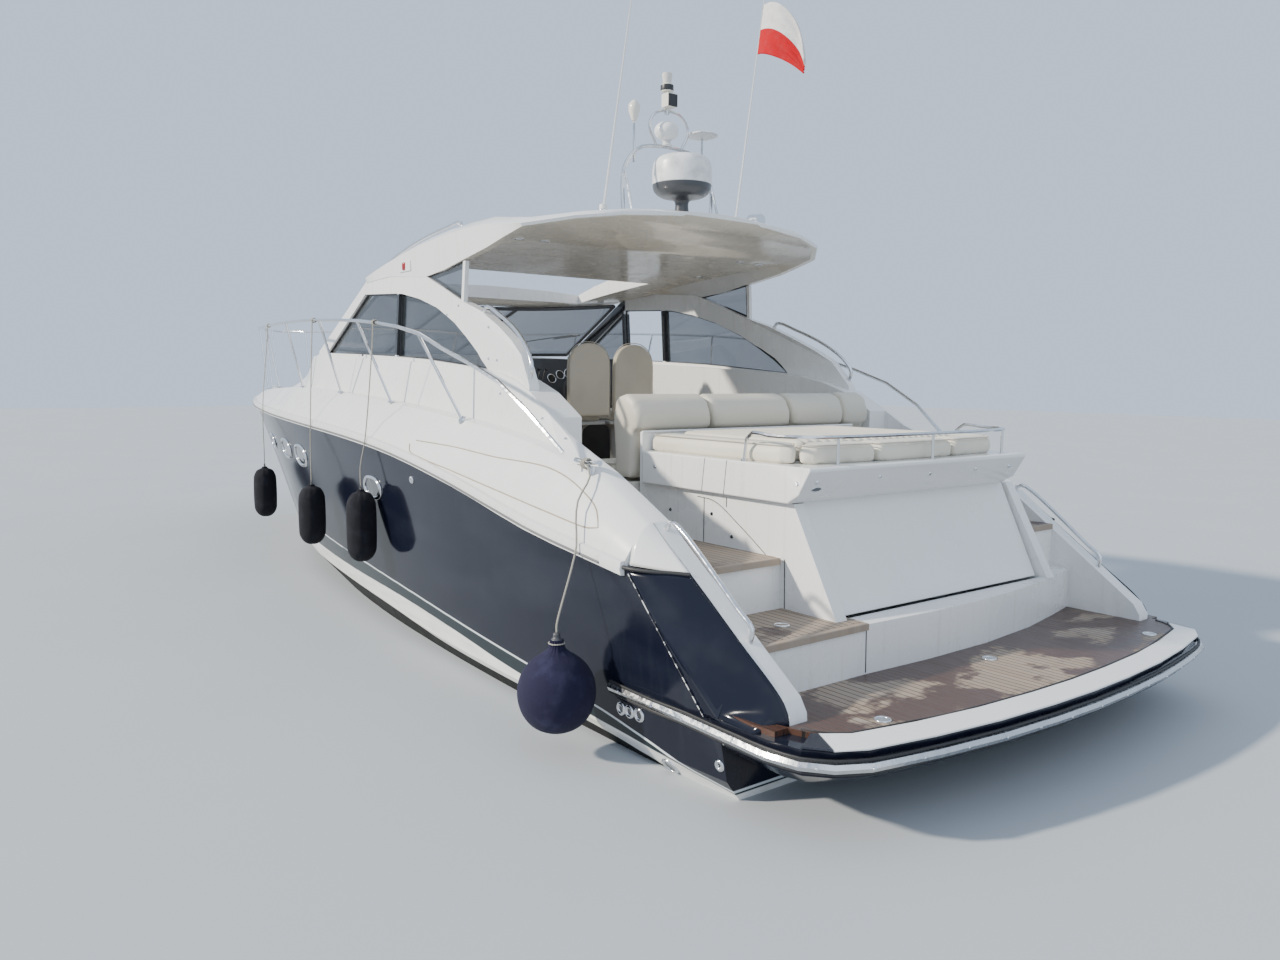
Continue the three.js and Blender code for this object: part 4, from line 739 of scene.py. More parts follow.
# Platform rim and corner: white gelcoat edge of the bathing platform, dark where it runs on into the quarters.
# A thin bead of black sealant parts it from the teak, and round steel plates cover the deck fittings.
CORNER, CORNER_SOFT = 0.015, 0.004
INNER_RIM = [(-6.2, 1.832), (-6.494, 1.832), (-6.62, 1.8), (-6.71, 1.72), (-6.77, 1.6), (-6.83, 1.3), (-6.88, 0.85),
             (-6.91, 0.4), (-6.92, 0)]
DECK_PLATES = [(-6.703, 1.386), (-6.703, -1.386), (-6.4, 0.0)]
rim_coat = gelcoat("platform_rim_gelcoat", 0.24)
quarter = rim_coat.plus(rim_coat.less(rim_coat.sum("ABSOLUTE", rim_coat.y), 1.8),
                        rim_coat.times(rim_coat.plus(rim_coat.x, 6.708), 0.39))
rim_coat.over(rim_coat.ramp(quarter, CORNER - CORNER_SOFT, CORNER + CORNER_SOFT), NAVY)
dressed("platform_rim", rim_coat, 35, 0.012)

TEAK_DRY, TEAK_GREY, TEAK_BROWN = (0.34, 0.25, 0.17), (0.30, 0.26, 0.22), (0.22, 0.17, 0.13)
TEAK_WET, TEAK_SOAKED, CAULK = (0.075, 0.026, 0.014), (0.035, 0.012, 0.007), (0.015, 0.014, 0.013)
PLANK = 0.052


def teak(name, wet, spots=7.0, laid=True):
    """Teak planks that run fore and aft, caulked black where laid, with grey weathering and wet patches."""
    wood = Finish(name, "teak", TEAK_DRY, 0.75)
    lane = wood.sum("DIVIDE", wood.y, PLANK)
    tone = wood.nodes.new("ShaderNodeTexWhiteNoise")
    tone.noise_dimensions = "1D"
    wood.links.new(wood.sum("FLOOR", lane), tone.inputs["W"])
    grain = wood.noise(9, 6, (0.35, 9, 1), 0.65)
    pool = wood.patches(0.62 - wet, 0.66 - wet, spots, 6, (0.42, 0.28, 1), 0.6)
    wood.colour(wood.mix(wood.ramp(grain, 0.3, 0.7), TEAK_GREY, TEAK_DRY))
    wood.over(wood.times(tone.outputs["Value"], 0.35), TEAK_BROWN)
    wood.over(wood.times(pool, 0.93), wood.mix(grain, TEAK_SOAKED, TEAK_WET))
    wood.rough(wood.less(wood.ramp(grain, 0.2, 0.8, 0.62, 0.85), wood.times(pool, 0.4))).bump(grain, 0.0012)
    if laid:
        edge = wood.sum("ABSOLUTE", wood.less(wood.sum("FRACT", lane), 0.5))
        caulk = wood.ramp(edge, 0.435, 0.45)
        wood.over(caulk, CAULK).bump(caulk, -0.0015)
    return wood


platform_wood = teak("platform_teak_planks", 0.17, 4.2)
dressed("platform_teak", platform_wood, 30)
rim_walk = [(p.x + 0.012 * (p.x < -6.5), p.y - 0.012) for p in walk([(x, y, 1) for x, y in INNER_RIM], 0.08)]
bars("platform_margin", [round_stern([spot for spot, _ in above("platform_teak", rim_walk, 1)])], 0.006, sealant, 6)
plate_rings = [ring((x, y, 0.501), UP, 0.038, 28) for x, y in DECK_PLATES]
bars("platform_deck_plates", plate_rings, 0.007, polished, closed=True)
plate("platform_deck_plate_caps", joined([disc(circle, UP, 0.002) for circle in plate_rings]), rubbed)

# Cockpit and transom moulding: one white moulding with the sole, the steps, the garage tub and the wings.
# Its edges are rounded, dark joints show where panels lift out, and small fittings are let into it.
WING_RAIL = [(-5.48, 1.25), (-5.45, 1.345), (-5.5, 1.37), (-6.06, 0.97), (-6.15, 0.9), (-6.13, 0.79)]
JOINTS = [[(-5.638, 1.1), (-5.645, 0.8)], [(-6.162, 0.785), (-6.162, 0.51)], [(-4.9, 1.4), (-4.9, 1.105)],
          [(-5.116, 1.42), (-5.116, 1.36)]]
TUB_JOINT = [(-4.83, 1.4), (-5.0, 1.385), (-5.25, 1.25), (-5.477, 1.106)]
TUB_SIDE = 1.001
dressed("cockpit_moulding", gelcoat("cockpit_gelcoat", 0.27), 30, 0.014)
bars("wing_handrails", [walk([(x, side * 1.76, z) for x, z in WING_RAIL], 0.04) for side in SIDES.values()],
     0.0145, polished, 12)
joints = [[(x, 0.862 if (x, z) == (-6.162, 0.51) else 0.868 if x == -6.162 else TUB_SIDE, z) for x, z in line]
          for line in JOINTS]
bars("moulding_joints", [*joints, walk([(x, TUB_SIDE, z) for x, z in TUB_JOINT], 0.05)], 0.0028, sealant, 6)

# Quarters: the rolled corners of the topsides that sweep from the seam in to the wings, and the deck's run-out.
# One smooth laminate each side, dark below and white above, parted by the end of the capping in black rubber.
LOW_SEAM = [(-5.415, 2.022, 1.12), (-5.73, 2.008, 0.79), (-6.05, 1.99, 0.45)]
WING_EDGE = [(-5.735, 1.824, 1.12), (-6.1, 1.824, 0.86), (-6.42, 1.824, 0.63), (-6.475, 1.824, 0.56),
             (-6.492, 1.826, 0.474)]
DECK_END = [(-5.402, 2.0, 1.14), (-5.402, 1.957, 1.262), (-5.402, 1.9, 1.332), (-5.402, 1.842, 1.364)]
WING_TOP = [(-5.735, 1.824, 1.125), (-5.62, 1.824, 1.205), (-5.5, 1.824, 1.29), (-5.404, 1.824, 1.362)]
CAPPING_END = [(-5.39, 2.03, 1.13), (-5.46, 2.02, 1.128), (-5.56, 1.965, 1.124), (-5.66, 1.885, 1.122),
               (-5.737, 1.828, 1.12)]
CORNER_PLAN = [(-6.16, 1.945), (-6.485, 1.838), (-6.5, 1.838), (-6.5, 1.935), (-6.36, 1.952)]
SKIN_GAP, SKIN_THICKNESS = 0.0025, 0.005


def gridded(rows, columns):
    """Faces of a sheet of rows and columns."""
    wide = columns + 1
    return [(i * wide + j, i * wide + j + 1, (i + 1) * wide + j + 1, (i + 1) * wide + j)
            for i in range(rows) for j in range(columns)]


def quarter_skin(name, left, right, side, finish, bulge, rows, columns):
    """A smooth sheet between two edges (each a list of points), kept just outside the solids behind it."""
    left, right = walk(left, 0.02), walk(right, 0.02)
    points = []
    for i in range(rows + 1):
        a, b = (edge[round(i / rows * (len(edge) - 1))] for edge in (left, right))
        for j in range(columns + 1):
            v = j / columns
            swell = bulge * (1 - 0.7 * i / rows) * math.sin(math.pi * v) ** 0.8
            p = a.lerp(b, v) + Vector((-0.35, 0.94, 0.0)) * swell
            p = Vector((p.x, side * p.y, p.z))
            for node in ("hull", "cockpit_moulding", "deck_moulding"):
                for spot, _ in abeam(node, side, [(p.x, p.z)]):
                    if 1.7 < abs(spot.y) and abs(spot.y) + SKIN_GAP > abs(p.y):
                        p.y = spot.y + side * SKIN_GAP
            points.append(p)
    faces = gridded(rows, columns)
    made = mesh_piece(name, points, faces if side < 0 else [f[::-1] for f in faces])
    shape = bmesh.new()
    shape.from_mesh(made.data)
    for _ in range(3):
        inner = [v for v in shape.verts if not v.is_boundary]
        bmesh.ops.smooth_vert(shape, verts=inner, factor=0.5, use_axis_x=False, use_axis_y=True, use_axis_z=False)
    bmesh.ops.reverse_faces(shape, faces=[f for f in shape.faces if f.normal.y * side < 0])
    shape.to_mesh(made.data)
    shape.free()
    shell = made.modifiers.new("laminate", "SOLIDIFY")
    shell.thickness, shell.offset = SKIN_THICKNESS, -1
    return fit(smooth_by_angle(made), finish)


navy_quarter = Finish("navy_quarter", "topsides", NAVY, 0.1, IOR=1.36)
salt = navy_quarter.times(navy_quarter.patches(0.5, 0.8, 2.2, 6), 0.4)
navy_quarter.colour(navy_quarter.mix(salt, NAVY, NAVY_SALT))
navy_quarter.rough(navy_quarter.ramp(navy_quarter.noise(3, 3), 0.3, 0.7, 0.07, 0.2))
navy_quarter.bump(navy_quarter.noise(2.2, 2), 0.004, 0.3)
for word, side in SIDES.items():
    quarter_skin(f"quarter_{word}", LOW_SEAM, WING_EDGE, side, navy_quarter, 0.03, 26, 16)
    quarter_skin(f"quarter_cap_{word}", DECK_END, WING_TOP, side, capping, 0.014, 14, 12)
bars("capping_ends", [[(p.x, side * p.y, p.z) for p in walk(CAPPING_END, 0.03)] for side in SIDES.values()],
     0.012, sealant)
chipped = Finish("chipped_seam", "topsides", SEAM_DARK, 0.4)
chip = chipped.patches(0.5, 0.56, 34, 4)
chipped.colour(chipped.mix(chip, (0.02, 0.022, 0.03), (0.62, 0.62, 0.6))).bump(chip, 0.0006)
seams = [[(p.x, side * (p.y + 0.0015), p.z) for p in walk(LOW_SEAM, 0.03)[1:]] for side in SIDES.values()]
bars("quarter_seams", seams, 0.0035, chipped, 6)
ledges = []
for side in SIDES.values():
    faces = stacked(2, len(CORNER_PLAN))
    ledges.append(([(x, side * y, z) for z in (0.468, 0.4985) for x, y in CORNER_PLAN],
                   faces if side > 0 else [f[::-1] for f in faces]))
plate("corner_teak", joined(ledges), platform_wood)

# Teak treads: planked pads glued on the two steps, the landing and the cockpit sole, each in a solid teak margin.
# They stand a few millimetres proud, and their black caulking runs fore and aft.
TREADS = [("lower_step_tread", -6.13, -5.615, 0.865, 1.685, 0.79), ("landing_tread", -5.585, -4.25, 1.03, 1.685, 1.1),
          ("starboard_tread", -5.77, -4.35, -1.68, -1.32, 1.1), ("sole_tread", -3.5, -0.42, -1.4, 1.4, 1.1)]
STEP_LIGHTS = [(-5.169, 1.174), (-4.975, 1.299), (-4.55, 1.28), (-4.38, 1.2)]
tread_wood, margin_wood = teak("tread_teak", 0.02, 6), teak("margin_teak", 0.03, 6, False)


def slab(x0, x1, y0, y1, z0, z1, ease=0.004):
    """A thin slab with eased top edges, as points and faces."""
    points = [(x, y, z) for d, z in ((0, z0), (0, z1 - ease), (ease, z1))
              for x, y in ((x0 + d, y0 + d), (x1 - d, y0 + d), (x1 - d, y1 - d), (x0 + d, y1 - d))]
    return points, stacked(3, 4)


for name, x0, x1, y0, y1, z in TREADS:
    plate(name, slab(x0, x1, y0, y1, z - 0.002, z + 0.009), tread_wood)
    nosing = 0.03 if x0 < -5 else 0.002
    margins = [slab(x0 - 0.045, x0 - 0.001, y0 - 0.005, y1 + 0.005, z - nosing, z + 0.010),
               slab(x0 - 0.001, x1, y0 - 0.012, y0 - 0.001, z - 0.002, z + 0.0095),
               slab(x0 - 0.001, x1, y1 + 0.001, y1 + 0.012, z - 0.002, z + 0.0095)]
    plate(name + "_margin", joined(margins), margin_wood)
bars("table_socket", [ring((-5.912, 1.295, 0.8), UP, 0.032, 24, 1.3)], 0.006, polished, closed=True)
lights = [(spot, out) if spot.y < 1.1 else (Vector((spot.x, 1.0005, spot.z)), Vector((0, 1, 0)))
          for spot, out in abeam("cockpit_moulding", 1, STEP_LIGHTS)]
studs("courtesy_lights", lights, 0.013, 0.006, glass_and_hollow_shade, 16)

# Garage lid: the transom door and the coaming under the sunpad, hinged at its forward edge, in white gelcoat.
# Snap fasteners and an oval lifting recess dot its coaming, and its panel is plain.
SNAPS = [(0.954, 1.58), (0.392, 1.583), (-0.116, 1.576), (-0.62, 1.58), (-1.02, 1.58)]
ASTERN, LID_SIDE = (1, 0, 0), 1.0605
dressed("garage_hatch", gelcoat("lid_gelcoat", 0.22), 30, 0.012, "garage_lid")
snaps = met("garage_hatch", [(-7, y, z) for y, z in SNAPS], ASTERN)
snaps += [(Vector((x, LID_SIDE, z)), Vector((0, 1, 0))) for x, z in ((-5.777, 1.571), (-4.45, 1.57))]
studs("coaming_snaps", snaps, 0.014, 0.007, polished, 16, "garage_lid")
recess, way = touch("garage_hatch", (-7, 0.93, 1.535), ASTERN)
turns = [2 * math.pi * i / 28 for i in range(28)]
oval = [recess + Vector((0, math.cos(a) * 0.042, math.sin(a) * 0.014)) for a in turns]
oval = [Vector((p.x - (p.z - recess.z) * 0.58, p.y, p.z)) for p in oval]
bars("lift_recess_rim", [oval], 0.004, polished, closed=True, body="garage_lid")
# The recess's hollow is a flat dark disc inside the rim: painted shade.
plate("lift_recess", disc(oval, way, 0.002), glass_and_hollow_shade, body="garage_lid")
lid_joints = [[(x, LID_SIDE, 1.665), (x + run, LID_SIDE, 1.45)] for x, run in ((-4.966, 0.026), (-5.175, 0.025))]
bars("lid_joints", lid_joints, 0.0025, insert_rubber, 6, body="garage_lid")

# Sunpad: cream vinyl pads on the garage lid, a ribbed mattress inside a smooth roll cut in five lengths.
# Foam cores in sewn covers, piped along their joins and lifted out when the lid is used hard.
CREAM, CREAM_SHADE, CHANNEL = (0.7, 0.66, 0.55), (0.6, 0.55, 0.45), 0.075
PAD_FOOT, PAD_TOP = 1.672, 1.81
PADS = {
    "sunpad_mattress": [(-4.32, 0.755), (-5.49, 0.755), (-5.545, 0.0), (-5.485, -0.875), (-4.32, -0.875)],
    "sunpad_port_roll": [(-4.31, 0.765), (-4.31, 1.0), (-5.56, 1.0), (-5.645, 0.932), (-5.495, 0.765)],
    "sunpad_aft_port_roll": [(-5.505, 0.757), (-5.655, 0.925), (-5.742, 0.85), (-5.78, 0.335), (-5.535, 0.335)],
    "sunpad_aft_roll": [(-5.537, 0.325), (-5.781, 0.325), (-5.802, 0.0), (-5.774, -0.46), (-5.53, -0.46)],
    "sunpad_aft_starboard_roll": [(-5.53, -0.47), (-5.773, -0.47), (-5.742, -0.95), (-5.66, -1.04), (-5.492, -0.877)],
    "sunpad_starboard_roll": [(-5.482, -0.885), (-5.65, -1.045), (-5.56, -1.12), (-4.31, -1.12), (-4.31, -0.885)],
}
FRAMES, PRESSURE = 20, 4.0


def vinyl(name, colour, shade):
    """Upholstery vinyl with a fine leather grain, soft pressed creases and a little grime."""
    made = Finish(name, "vinyl", colour, 0.46, Sheen_Weight=0.08, Sheen_Roughness=0.5)
    made.colour(made.mix(made.patches(0.4, 0.8, 2.4, 5), colour, shade))
    made.rough(made.ramp(made.noise(7, 4), 0.3, 0.7, 0.38, 0.56)).bump(made.pebble(420.0), 0.0004, 0.5)
    return made.bump(made.noise(9, 3), 0.004, 0.5).bump(made.noise(40, 3), 0.0008, 0.4)


cream = vinyl("cream_vinyl", CREAM, CREAM_SHADE)


def eased_corners(outline, radius, steps=4):
    """An outline in a plane with its corners rounded."""
    made = []
    for i, p in enumerate(outline):
        start, end = (p + (q - p).normalized() * min(radius, (q - p).length * 0.45)
                      for q in (outline[i - 1], outline[(i + 1) % len(outline)]))
        shares = [k / steps for k in range(steps + 1)]
        made += [start * (1 - t) ** 2 + p * (2 * t * (1 - t)) + end * t * t for t in shares]
    return made


def drawn_in(outline, amount):
    """An outline in a plane moved inwards, for one that turns anticlockwise."""
    made = []
    for i, p in enumerate(outline):
        first, last = (p - outline[i - 1]).normalized(), (outline[(i + 1) % len(outline)] - p).normalized()
        way = Vector((-first.y - last.y, first.x + last.x)).normalized()
        made.append(p + way * (amount / max(0.6, way.dot(Vector((-first.y, first.x))))))
    return made


def sewn(outline, corner):
    """A pad's outline, turned anticlockwise, with its sewing gap taken off and its corners rounded."""
    outline = [Vector(p) for p in outline]
    if sum(p.x * q.y - q.x * p.y for p, q in zip(outline, outline[1:] + outline[:1])) < 0:
        outline.reverse()
    return eased_corners(drawn_in(outline, 0.004), corner)


def flat_lay(u, v, w):
    return (u, v, w)


def blow(made, cap):
    """Cloth simulation with air pressure and no gravity, with each point's way capped."""
    before = [v.co.copy() for v in made.data.vertices]
    cloth = made.modifiers.new("blown", "CLOTH")
    cloth.settings.quality, cloth.settings.mass = 4, 0.3
    cloth.settings.use_pressure, cloth.settings.uniform_pressure_force = True, PRESSURE
    cloth.settings.effector_weights.gravity = 0
    cloth.collision_settings.use_collision = False
    cloth.point_cache.frame_start, cloth.point_cache.frame_end = 1, FRAMES
    for frame_number in range(1, FRAMES + 1):
        bpy.context.scene.frame_set(frame_number)
    solid = bpy.data.meshes.new_from_object(made.evaluated_get(bpy.context.evaluated_depsgraph_get()))
    made.modifiers.clear()
    bpy.context.scene.frame_set(1)
    for old, spot in zip(before, solid.vertices):
        way = spot.co - old
        if way.length > cap:
            spot.co = old + way.normalized() * cap
    made.data = solid


def cushion(name, finish, outline, low, high, roll, *replaced, lay=flat_lay, voxel=0.022, cap=0.009, corner=0.05,
            both=False, press=None, body="boat", fill=None):
    """A pad from an outline and two levels: a rounded block, remeshed, blown up by cloth simulation and smoothed."""
    outline = sewn(outline, corner)
    steps = [(high - roll * (1 - math.sin(a)), roll * (1 - math.cos(a))) for a in (0, 0.4, 0.8, 1.2, math.pi / 2)]
    foot = [(low, 0.006), (low + 0.006, 0)]
    if both:
        foot = [(low + high - level, shift) for level, shift in reversed(steps)]
    steps = foot + steps
    points = [lay(p.x, p.y, level) for level, shift in steps for p in drawn_in(outline, shift)]
    made = mesh_piece(name, points, stacked(len(steps), len(outline)))
    shape = bmesh.new()
    shape.from_mesh(made.data)
    bmesh.ops.triangulate(shape, faces=[f for f in shape.faces if len(f.verts) > 4])
    bmesh.ops.recalc_face_normals(shape, faces=shape.faces)
    shape.to_mesh(made.data)
    shape.free()
    voxels = made.modifiers.new("voxels", "REMESH")
    voxels.mode, voxels.voxel_size, voxels.use_smooth_shade = "VOXEL", voxel, True
    settle(made)
    blow(made, cap)
    finer = made.modifiers.new("finer", "SUBSURF")
    finer.levels = finer.render_levels = 1
    settle(made)
    if press:
        pressed = [v.co + press(v.co, v.normal) for v in made.data.vertices]
        made.data.vertices.foreach_set("co", [c for spot in pressed for c in spot])
    fit(smooth_by_angle(made), finish, *replaced, body=body)
    return made


def ribs(spot, normal):
    """Sewn channels that run fore and aft along the mattress."""
    across = abs(math.sin(math.pi * spot.y / CHANNEL))
    depth = 0.02 * (1 - across) ** 2 - 0.004 if normal.z > 0.25 or normal.x < -0.5 else 0.0
    return normal * -depth


cushion("sunpad_mattress", cream, PADS["sunpad_mattress"], PAD_FOOT, PAD_TOP - 0.01, 0.035, "sunpad", voxel=0.02,
        corner=0.06, press=ribs, body="garage_lid", fill=0.85)
ROLLS = {name: outline for name, outline in PADS.items() if name != "sunpad_mattress"}
for name, outline in ROLLS.items():
    cushion(name, cream, outline, PAD_FOOT, PAD_TOP - 0.028, 0.045, voxel=0.02, corner=0.035, body="garage_lid",
            fill=0.85)
piping_vinyl = vinyl("piping_vinyl", (0.5, 0.46, 0.38), (0.4, 0.36, 0.29))


def piping(name, outlines, level, body="boat"):
    """Piping sewn round the top edge of pads."""
    loops = [[(p.x, p.y, level) for p in drawn_in(sewn(outline, 0.05), 0.014)] for outline in outlines]
    bars(name, loops, 0.004, piping_vinyl, 6, closed=True, body=body)


piping("sunpad_piping", ROLLS.values(), PAD_TOP - 0.029, "garage_lid")

# Pad rail: a polished tube round the aft half of the sunpad, on flanged feet screwed to the coaming.
# It is bent in one length, with welded posts and turned foot flanges.
FLANGES = [(-5.29, -1.141, 1.671), (-5.29, 1.021, 1.671), (-5.82, 0.76, 1.66), (-5.848, -0.12, 1.66),
           (-5.8, -0.98, 1.66)]
dressed("sunpad_rail", polished, 50, body="garage_lid")
bars("sunpad_rail_feet", [[(x, y, z), (x, y, z + 0.012)] for x, y, z in FLANGES], 0.022, polished, 20,
     body="garage_lid")

# Cockpit sofa: a moulded base with cream seat cushions, and a fat backrest roll that also heads the sunpad.
# The roll is cut in four lengths with slanting joins, and a courtesy lamp is let into the port end.
BACK_PROFILE = [(-4.178, 1.45), (-3.975, 1.45), (-3.965, 1.57), (-3.935, 1.9), (-3.985, 2.045), (-4.1, 2.08),
                (-4.205, 2.035), (-4.252, 1.92), (-4.238, 1.815), (-4.185, 1.79)]
BACK_LENGTHS = [("port", 1.07, 0.34), ("middle", 0.33, -0.503), ("starboard", -0.513, -1.122), ("end", -1.132, -1.436)]
SEATS = {"port": (-3.95, -3.57, 1.045, 0.34), "middle": (-3.95, -3.57, 0.33, -0.503),
         "corner": (-3.95, -3.57, -0.513, -1.415), "side_aft": (-3.56, -3.04, -0.865, -1.415),
         "side_fore": (-3.03, -2.51, -0.865, -1.415)}
dressed("sofa_base", gelcoat("sofa_base_gelcoat", 0.3, (0.66, 0.63, 0.56), (0.5, 0.46, 0.38)), 30, 0.015)


def slanted(u, v, w):
    """Section (x, z) at a place along the beam, joins leaning to port at the top."""
    return (u, w + (0.09 * (v - 1.78) if -1.0 < w < 1.0 else 0), v)


# The backrest roll takes a darker copy of the cream vinyl: painted shade for the hardtop's shadow over it.
painted_shade_cream = vinyl("painted_shade_cream_vinyl", (0.58, 0.54, 0.45), CREAM_SHADE)
for word, port_end, starboard_end in BACK_LENGTHS:
    cushion(f"sofa_back_{word}", painted_shade_cream, BACK_PROFILE, starboard_end, port_end, 0.03,
            *(["sofa_backrest"] if word == "port" else []), lay=slanted, corner=0.03, both=True, fill=0.8)
seat_plans = {word: [(x0, y0), (x1, y0), (x1, y1), (x0, y1)] for word, (x0, x1, y0, y1) in SEATS.items()}
for word, plan in seat_plans.items():
    cushion(f"sofa_seat_{word}", cream, plan, 1.4415, 1.552, 0.035, *(["sofa_seat"] if word == "port" else []),
            fill=0.8)
piping("sofa_seat_piping", seat_plans.values(), 1.546)
lamp_red = mottled("courtesy_lamp", "black_trim", 0.25, (0.55, 0.06, 0.04), (0.3, 0.02, 0.02), (80,))
studs("sofa_courtesy_lamp", [((-4.02, 1.0515, 1.3), (0, 1, 0))], 0.017, 0.008, lamp_red, 18)

# Helm seats: a pair of bucket seats on columns, with tall arched backs in hard beige shells.
# The cushions are pressed into the shells and piped round, and the columns are painted alloy.
COLUMN = [(0.19, 0), (0.188, 0.018), (0.12, 0.04), (0.085, 0.1), (0.08, 0.42), (0.095, 0.56), (0.15, 0.606),
          (0.152, 0.616)]
shell_vinyl = vinyl("seat_shell_vinyl", (0.66, 0.59, 0.46), (0.56, 0.49, 0.38))
column_paint = mottled("seat_column_paint", "vinyl", 0.35, (0.5, 0.49, 0.46), (0.4, 0.39, 0.36), (20,), (300, 0.0002),
                       Metallic=0.3)


def arch_outline(middle, half, foot, shoulder, crown):
    """The outline (y, z) of a tall back with a pointed arch for a top."""
    arch = [(math.cos(math.pi * i / 10), math.sin(math.pi * i / 10)) for i in range(11)]
    return [(middle - half, foot), (middle + half, foot),
            *((middle + half * math.copysign(abs(lean) ** 0.85, lean), shoulder + crown * rise) for lean, rise in arch)]


def upright(u, v, w):
    return (w, u, v)


for word, middle in (("port", -0.19), ("starboard", -0.725)):
    shell = cushion(f"helm_back_shell_{word}", shell_vinyl, arch_outline(middle, 0.246, 1.79, 2.29, 0.226),
                    -1.846, -1.79, 0.02, f"helm_seat_{word}", lay=upright, voxel=0.012, cap=0.003, corner=0.03,
                    both=True)
    cushion(f"helm_back_pad_{word}", cream, arch_outline(middle, 0.232, 1.85, 2.28, 0.21), -1.795, -1.742, 0.03,
            lay=upright, voxel=0.014, cap=0.01, fill=0.8)
    squab = [(-1.735, middle - 0.238), (-1.3, middle - 0.225), (-1.3, middle + 0.225), (-1.735, middle + 0.238)]
    cushion(f"helm_seat_pad_{word}", cream, squab, 1.745, 1.85, 0.04, voxel=0.016, cap=0.01, corner=0.08, fill=0.8)
    plate(f"helm_seat_pan_{word}", slab(-1.76, -1.3, middle - 0.235, middle + 0.235, 1.712, 1.746, 0.01), column_paint)
    turned(f"helm_seat_column_{word}", COLUMN, 0.02, (-1.56, middle, 1.1), column_paint, count=40)
    back_edge = eased_corners([Vector(p) for p in arch_outline(middle, 0.252, 1.785, 2.29, 0.232)], 0.03, 3)
    bars(f"helm_back_piping_{word}", [[(-1.818, y, z) for y, z in back_edge]], 0.004, piping_vinyl, 6, closed=True)

# Helm console: a black moulded dash under the windscreen with instruments and two throttles.
# Grained anti-glare vinyl over a moulding, with alloy bezels round the dials.
DIALS = [(-0.42, 2.16, 0.05), (-0.54, 2.2, 0.05), (-0.66, 2.21, 0.06), (-0.78, 2.2, 0.05), (-0.9, 2.16, 0.05)]
dash_vinyl = mottled("dash_vinyl", "black_trim", 0.6, (0.012, 0.012, 0.014), (0.04, 0.04, 0.042), (6, 4))
dash_vinyl.bump(dash_vinyl.pebble(300.0), 0.0006)
dressed("helm_console", dash_vinyl, 30, 0.012)
bezels, dials = [], []
for y, z, radius in DIALS:
    for spot, out in met("helm_console", [(-3, y, z)], ASTERN):
        bezels.append(ring(spot + out * 0.003, out, radius, 28))
        dials.append(disc(bezels[-1], out, 0.001))
bars("dial_bezels", bezels, 0.005, polished, closed=True)
plate("dial_faces", joined(dials), glass_and_hollow_shade)
for spot, out in met("helm_console", [(-3, -0.25, 2.12)], ASTERN):
    levers = [(spot + Vector((0, d, 0)), spot + out * 0.06 + Vector((-0.02, d, 0.11))) for d in (-0.03, 0.03)]
    bars("throttle_levers", levers, 0.008, polished, 12)
    knobs = [[tip, tip + Vector((0, d, 0))] for (_, tip), d in zip(levers, (-0.028, 0.028))]
    bars("throttle_knobs", knobs, 0.014, dash_vinyl, 14)

# Steering wheel: a leather rim on three polished spokes and a padded hub, raked with the dash.
# It turns on its own shaft.
HUB, RAKE = Vector((-0.93, -0.66, 1.99)), math.radians(28)
HUB_RINGS = [(0.052, -0.035), (0.055, -0.01), (0.045, 0.004), (0.02, 0.01), (0.003, 0.011)]
leather = mottled("wheel_leather", "black_trim", 0.5, (0.018, 0.016, 0.015), (0.05, 0.045, 0.04), (30,), (260, 0.0007))
shaft, climb = Vector((-math.cos(RAKE), 0, math.sin(RAKE))), Vector((math.sin(RAKE), 0, math.cos(RAKE)))
bars("wheel_rim", [ring(HUB, shaft, 0.183, 56)], 0.016, leather, 12, True, "wheel", ["steering_wheel"])
spokes = []
for a in (90, 210, 330):
    way = Vector((0, 1, 0)) * math.cos(math.radians(a)) + climb * math.sin(math.radians(a))
    for d in (-0.012, 0.012):
        shift = shaft.cross(way) * d
        root = HUB - shaft * 0.02
        spokes.append(walk([root + shift, root + way * 0.08 + shift, HUB + way * 0.178 + shift], 0.03))
bars("wheel_spokes", spokes, 0.0055, polished, body="wheel")
hub_points = [p for radius, lift in HUB_RINGS for p in ring(HUB + shaft * lift, shaft, radius, 32)]
smooth_by_angle(plate("wheel_hub", (hub_points, stacked(len(HUB_RINGS), 32)), leather, body="wheel"), 40)

# Companion door: a smoked acrylic leaf in a slim frame that slides across in the cockpit bulkhead.
# A bow handle is bolted through it.
LEAF = [(0.058, 1.11), (0.592, 1.11), (0.592, 2.172), (0.058, 2.172)]
GRIP = [(-0.398, 1.5), (-0.435, 1.515), (-0.44, 1.6), (-0.435, 1.685), (-0.398, 1.7)]
smoked = mottled("smoked_acrylic", "glass", 0.05, (0.01, 0.012, 0.014), (0.03, 0.033, 0.037), (5,),
                 Alpha=0.82, Coat_Weight=0.5)
dressed("companion_door", smoked, 30, body="door")
bars("door_frame", [[(-0.4025, y, z) for y, z in LEAF]], 0.0055, polished, closed=True, body="door")
bars("door_handle", [walk([(x, 0.12, z) for x, z in GRIP], 0.02)], 0.008, polished, 12, body="door")

# Side arches: white mouldings that carry the roof in one sweep from the coachroof to the cockpit coaming.
# Their edges are rounded, press studs follow them, and a steel grab rail runs down each.
STUD_LINE = [(-2.386, 2.672), (-2.596, 2.733), (-3.147, 2.543), (-3.178, 2.309), (-3.312, 2.296), (-3.468, 2.054)]
COAMING_STUDS = [(-4.383, 1.78), (-4.1, 1.9), (-3.8, 2.0)]
GRAB = [(-2.94, 2.64), (-2.99, 2.705), (-3.24, 2.63), (-3.56, 2.49), (-3.76, 2.35), (-3.835, 2.24), (-3.795, 2.15)]
arch_coat = gelcoat("arch_gelcoat", 0.24)
posts = arch_coat.sum("MAXIMUM", *(arch_coat.band(arch_coat.x, *span) for span in ((-1.405, -1.295), (-0.625, -0.575))))
inboard = arch_coat.times(arch_coat.faces(1), arch_coat.sum("SIGN", arch_coat.y))
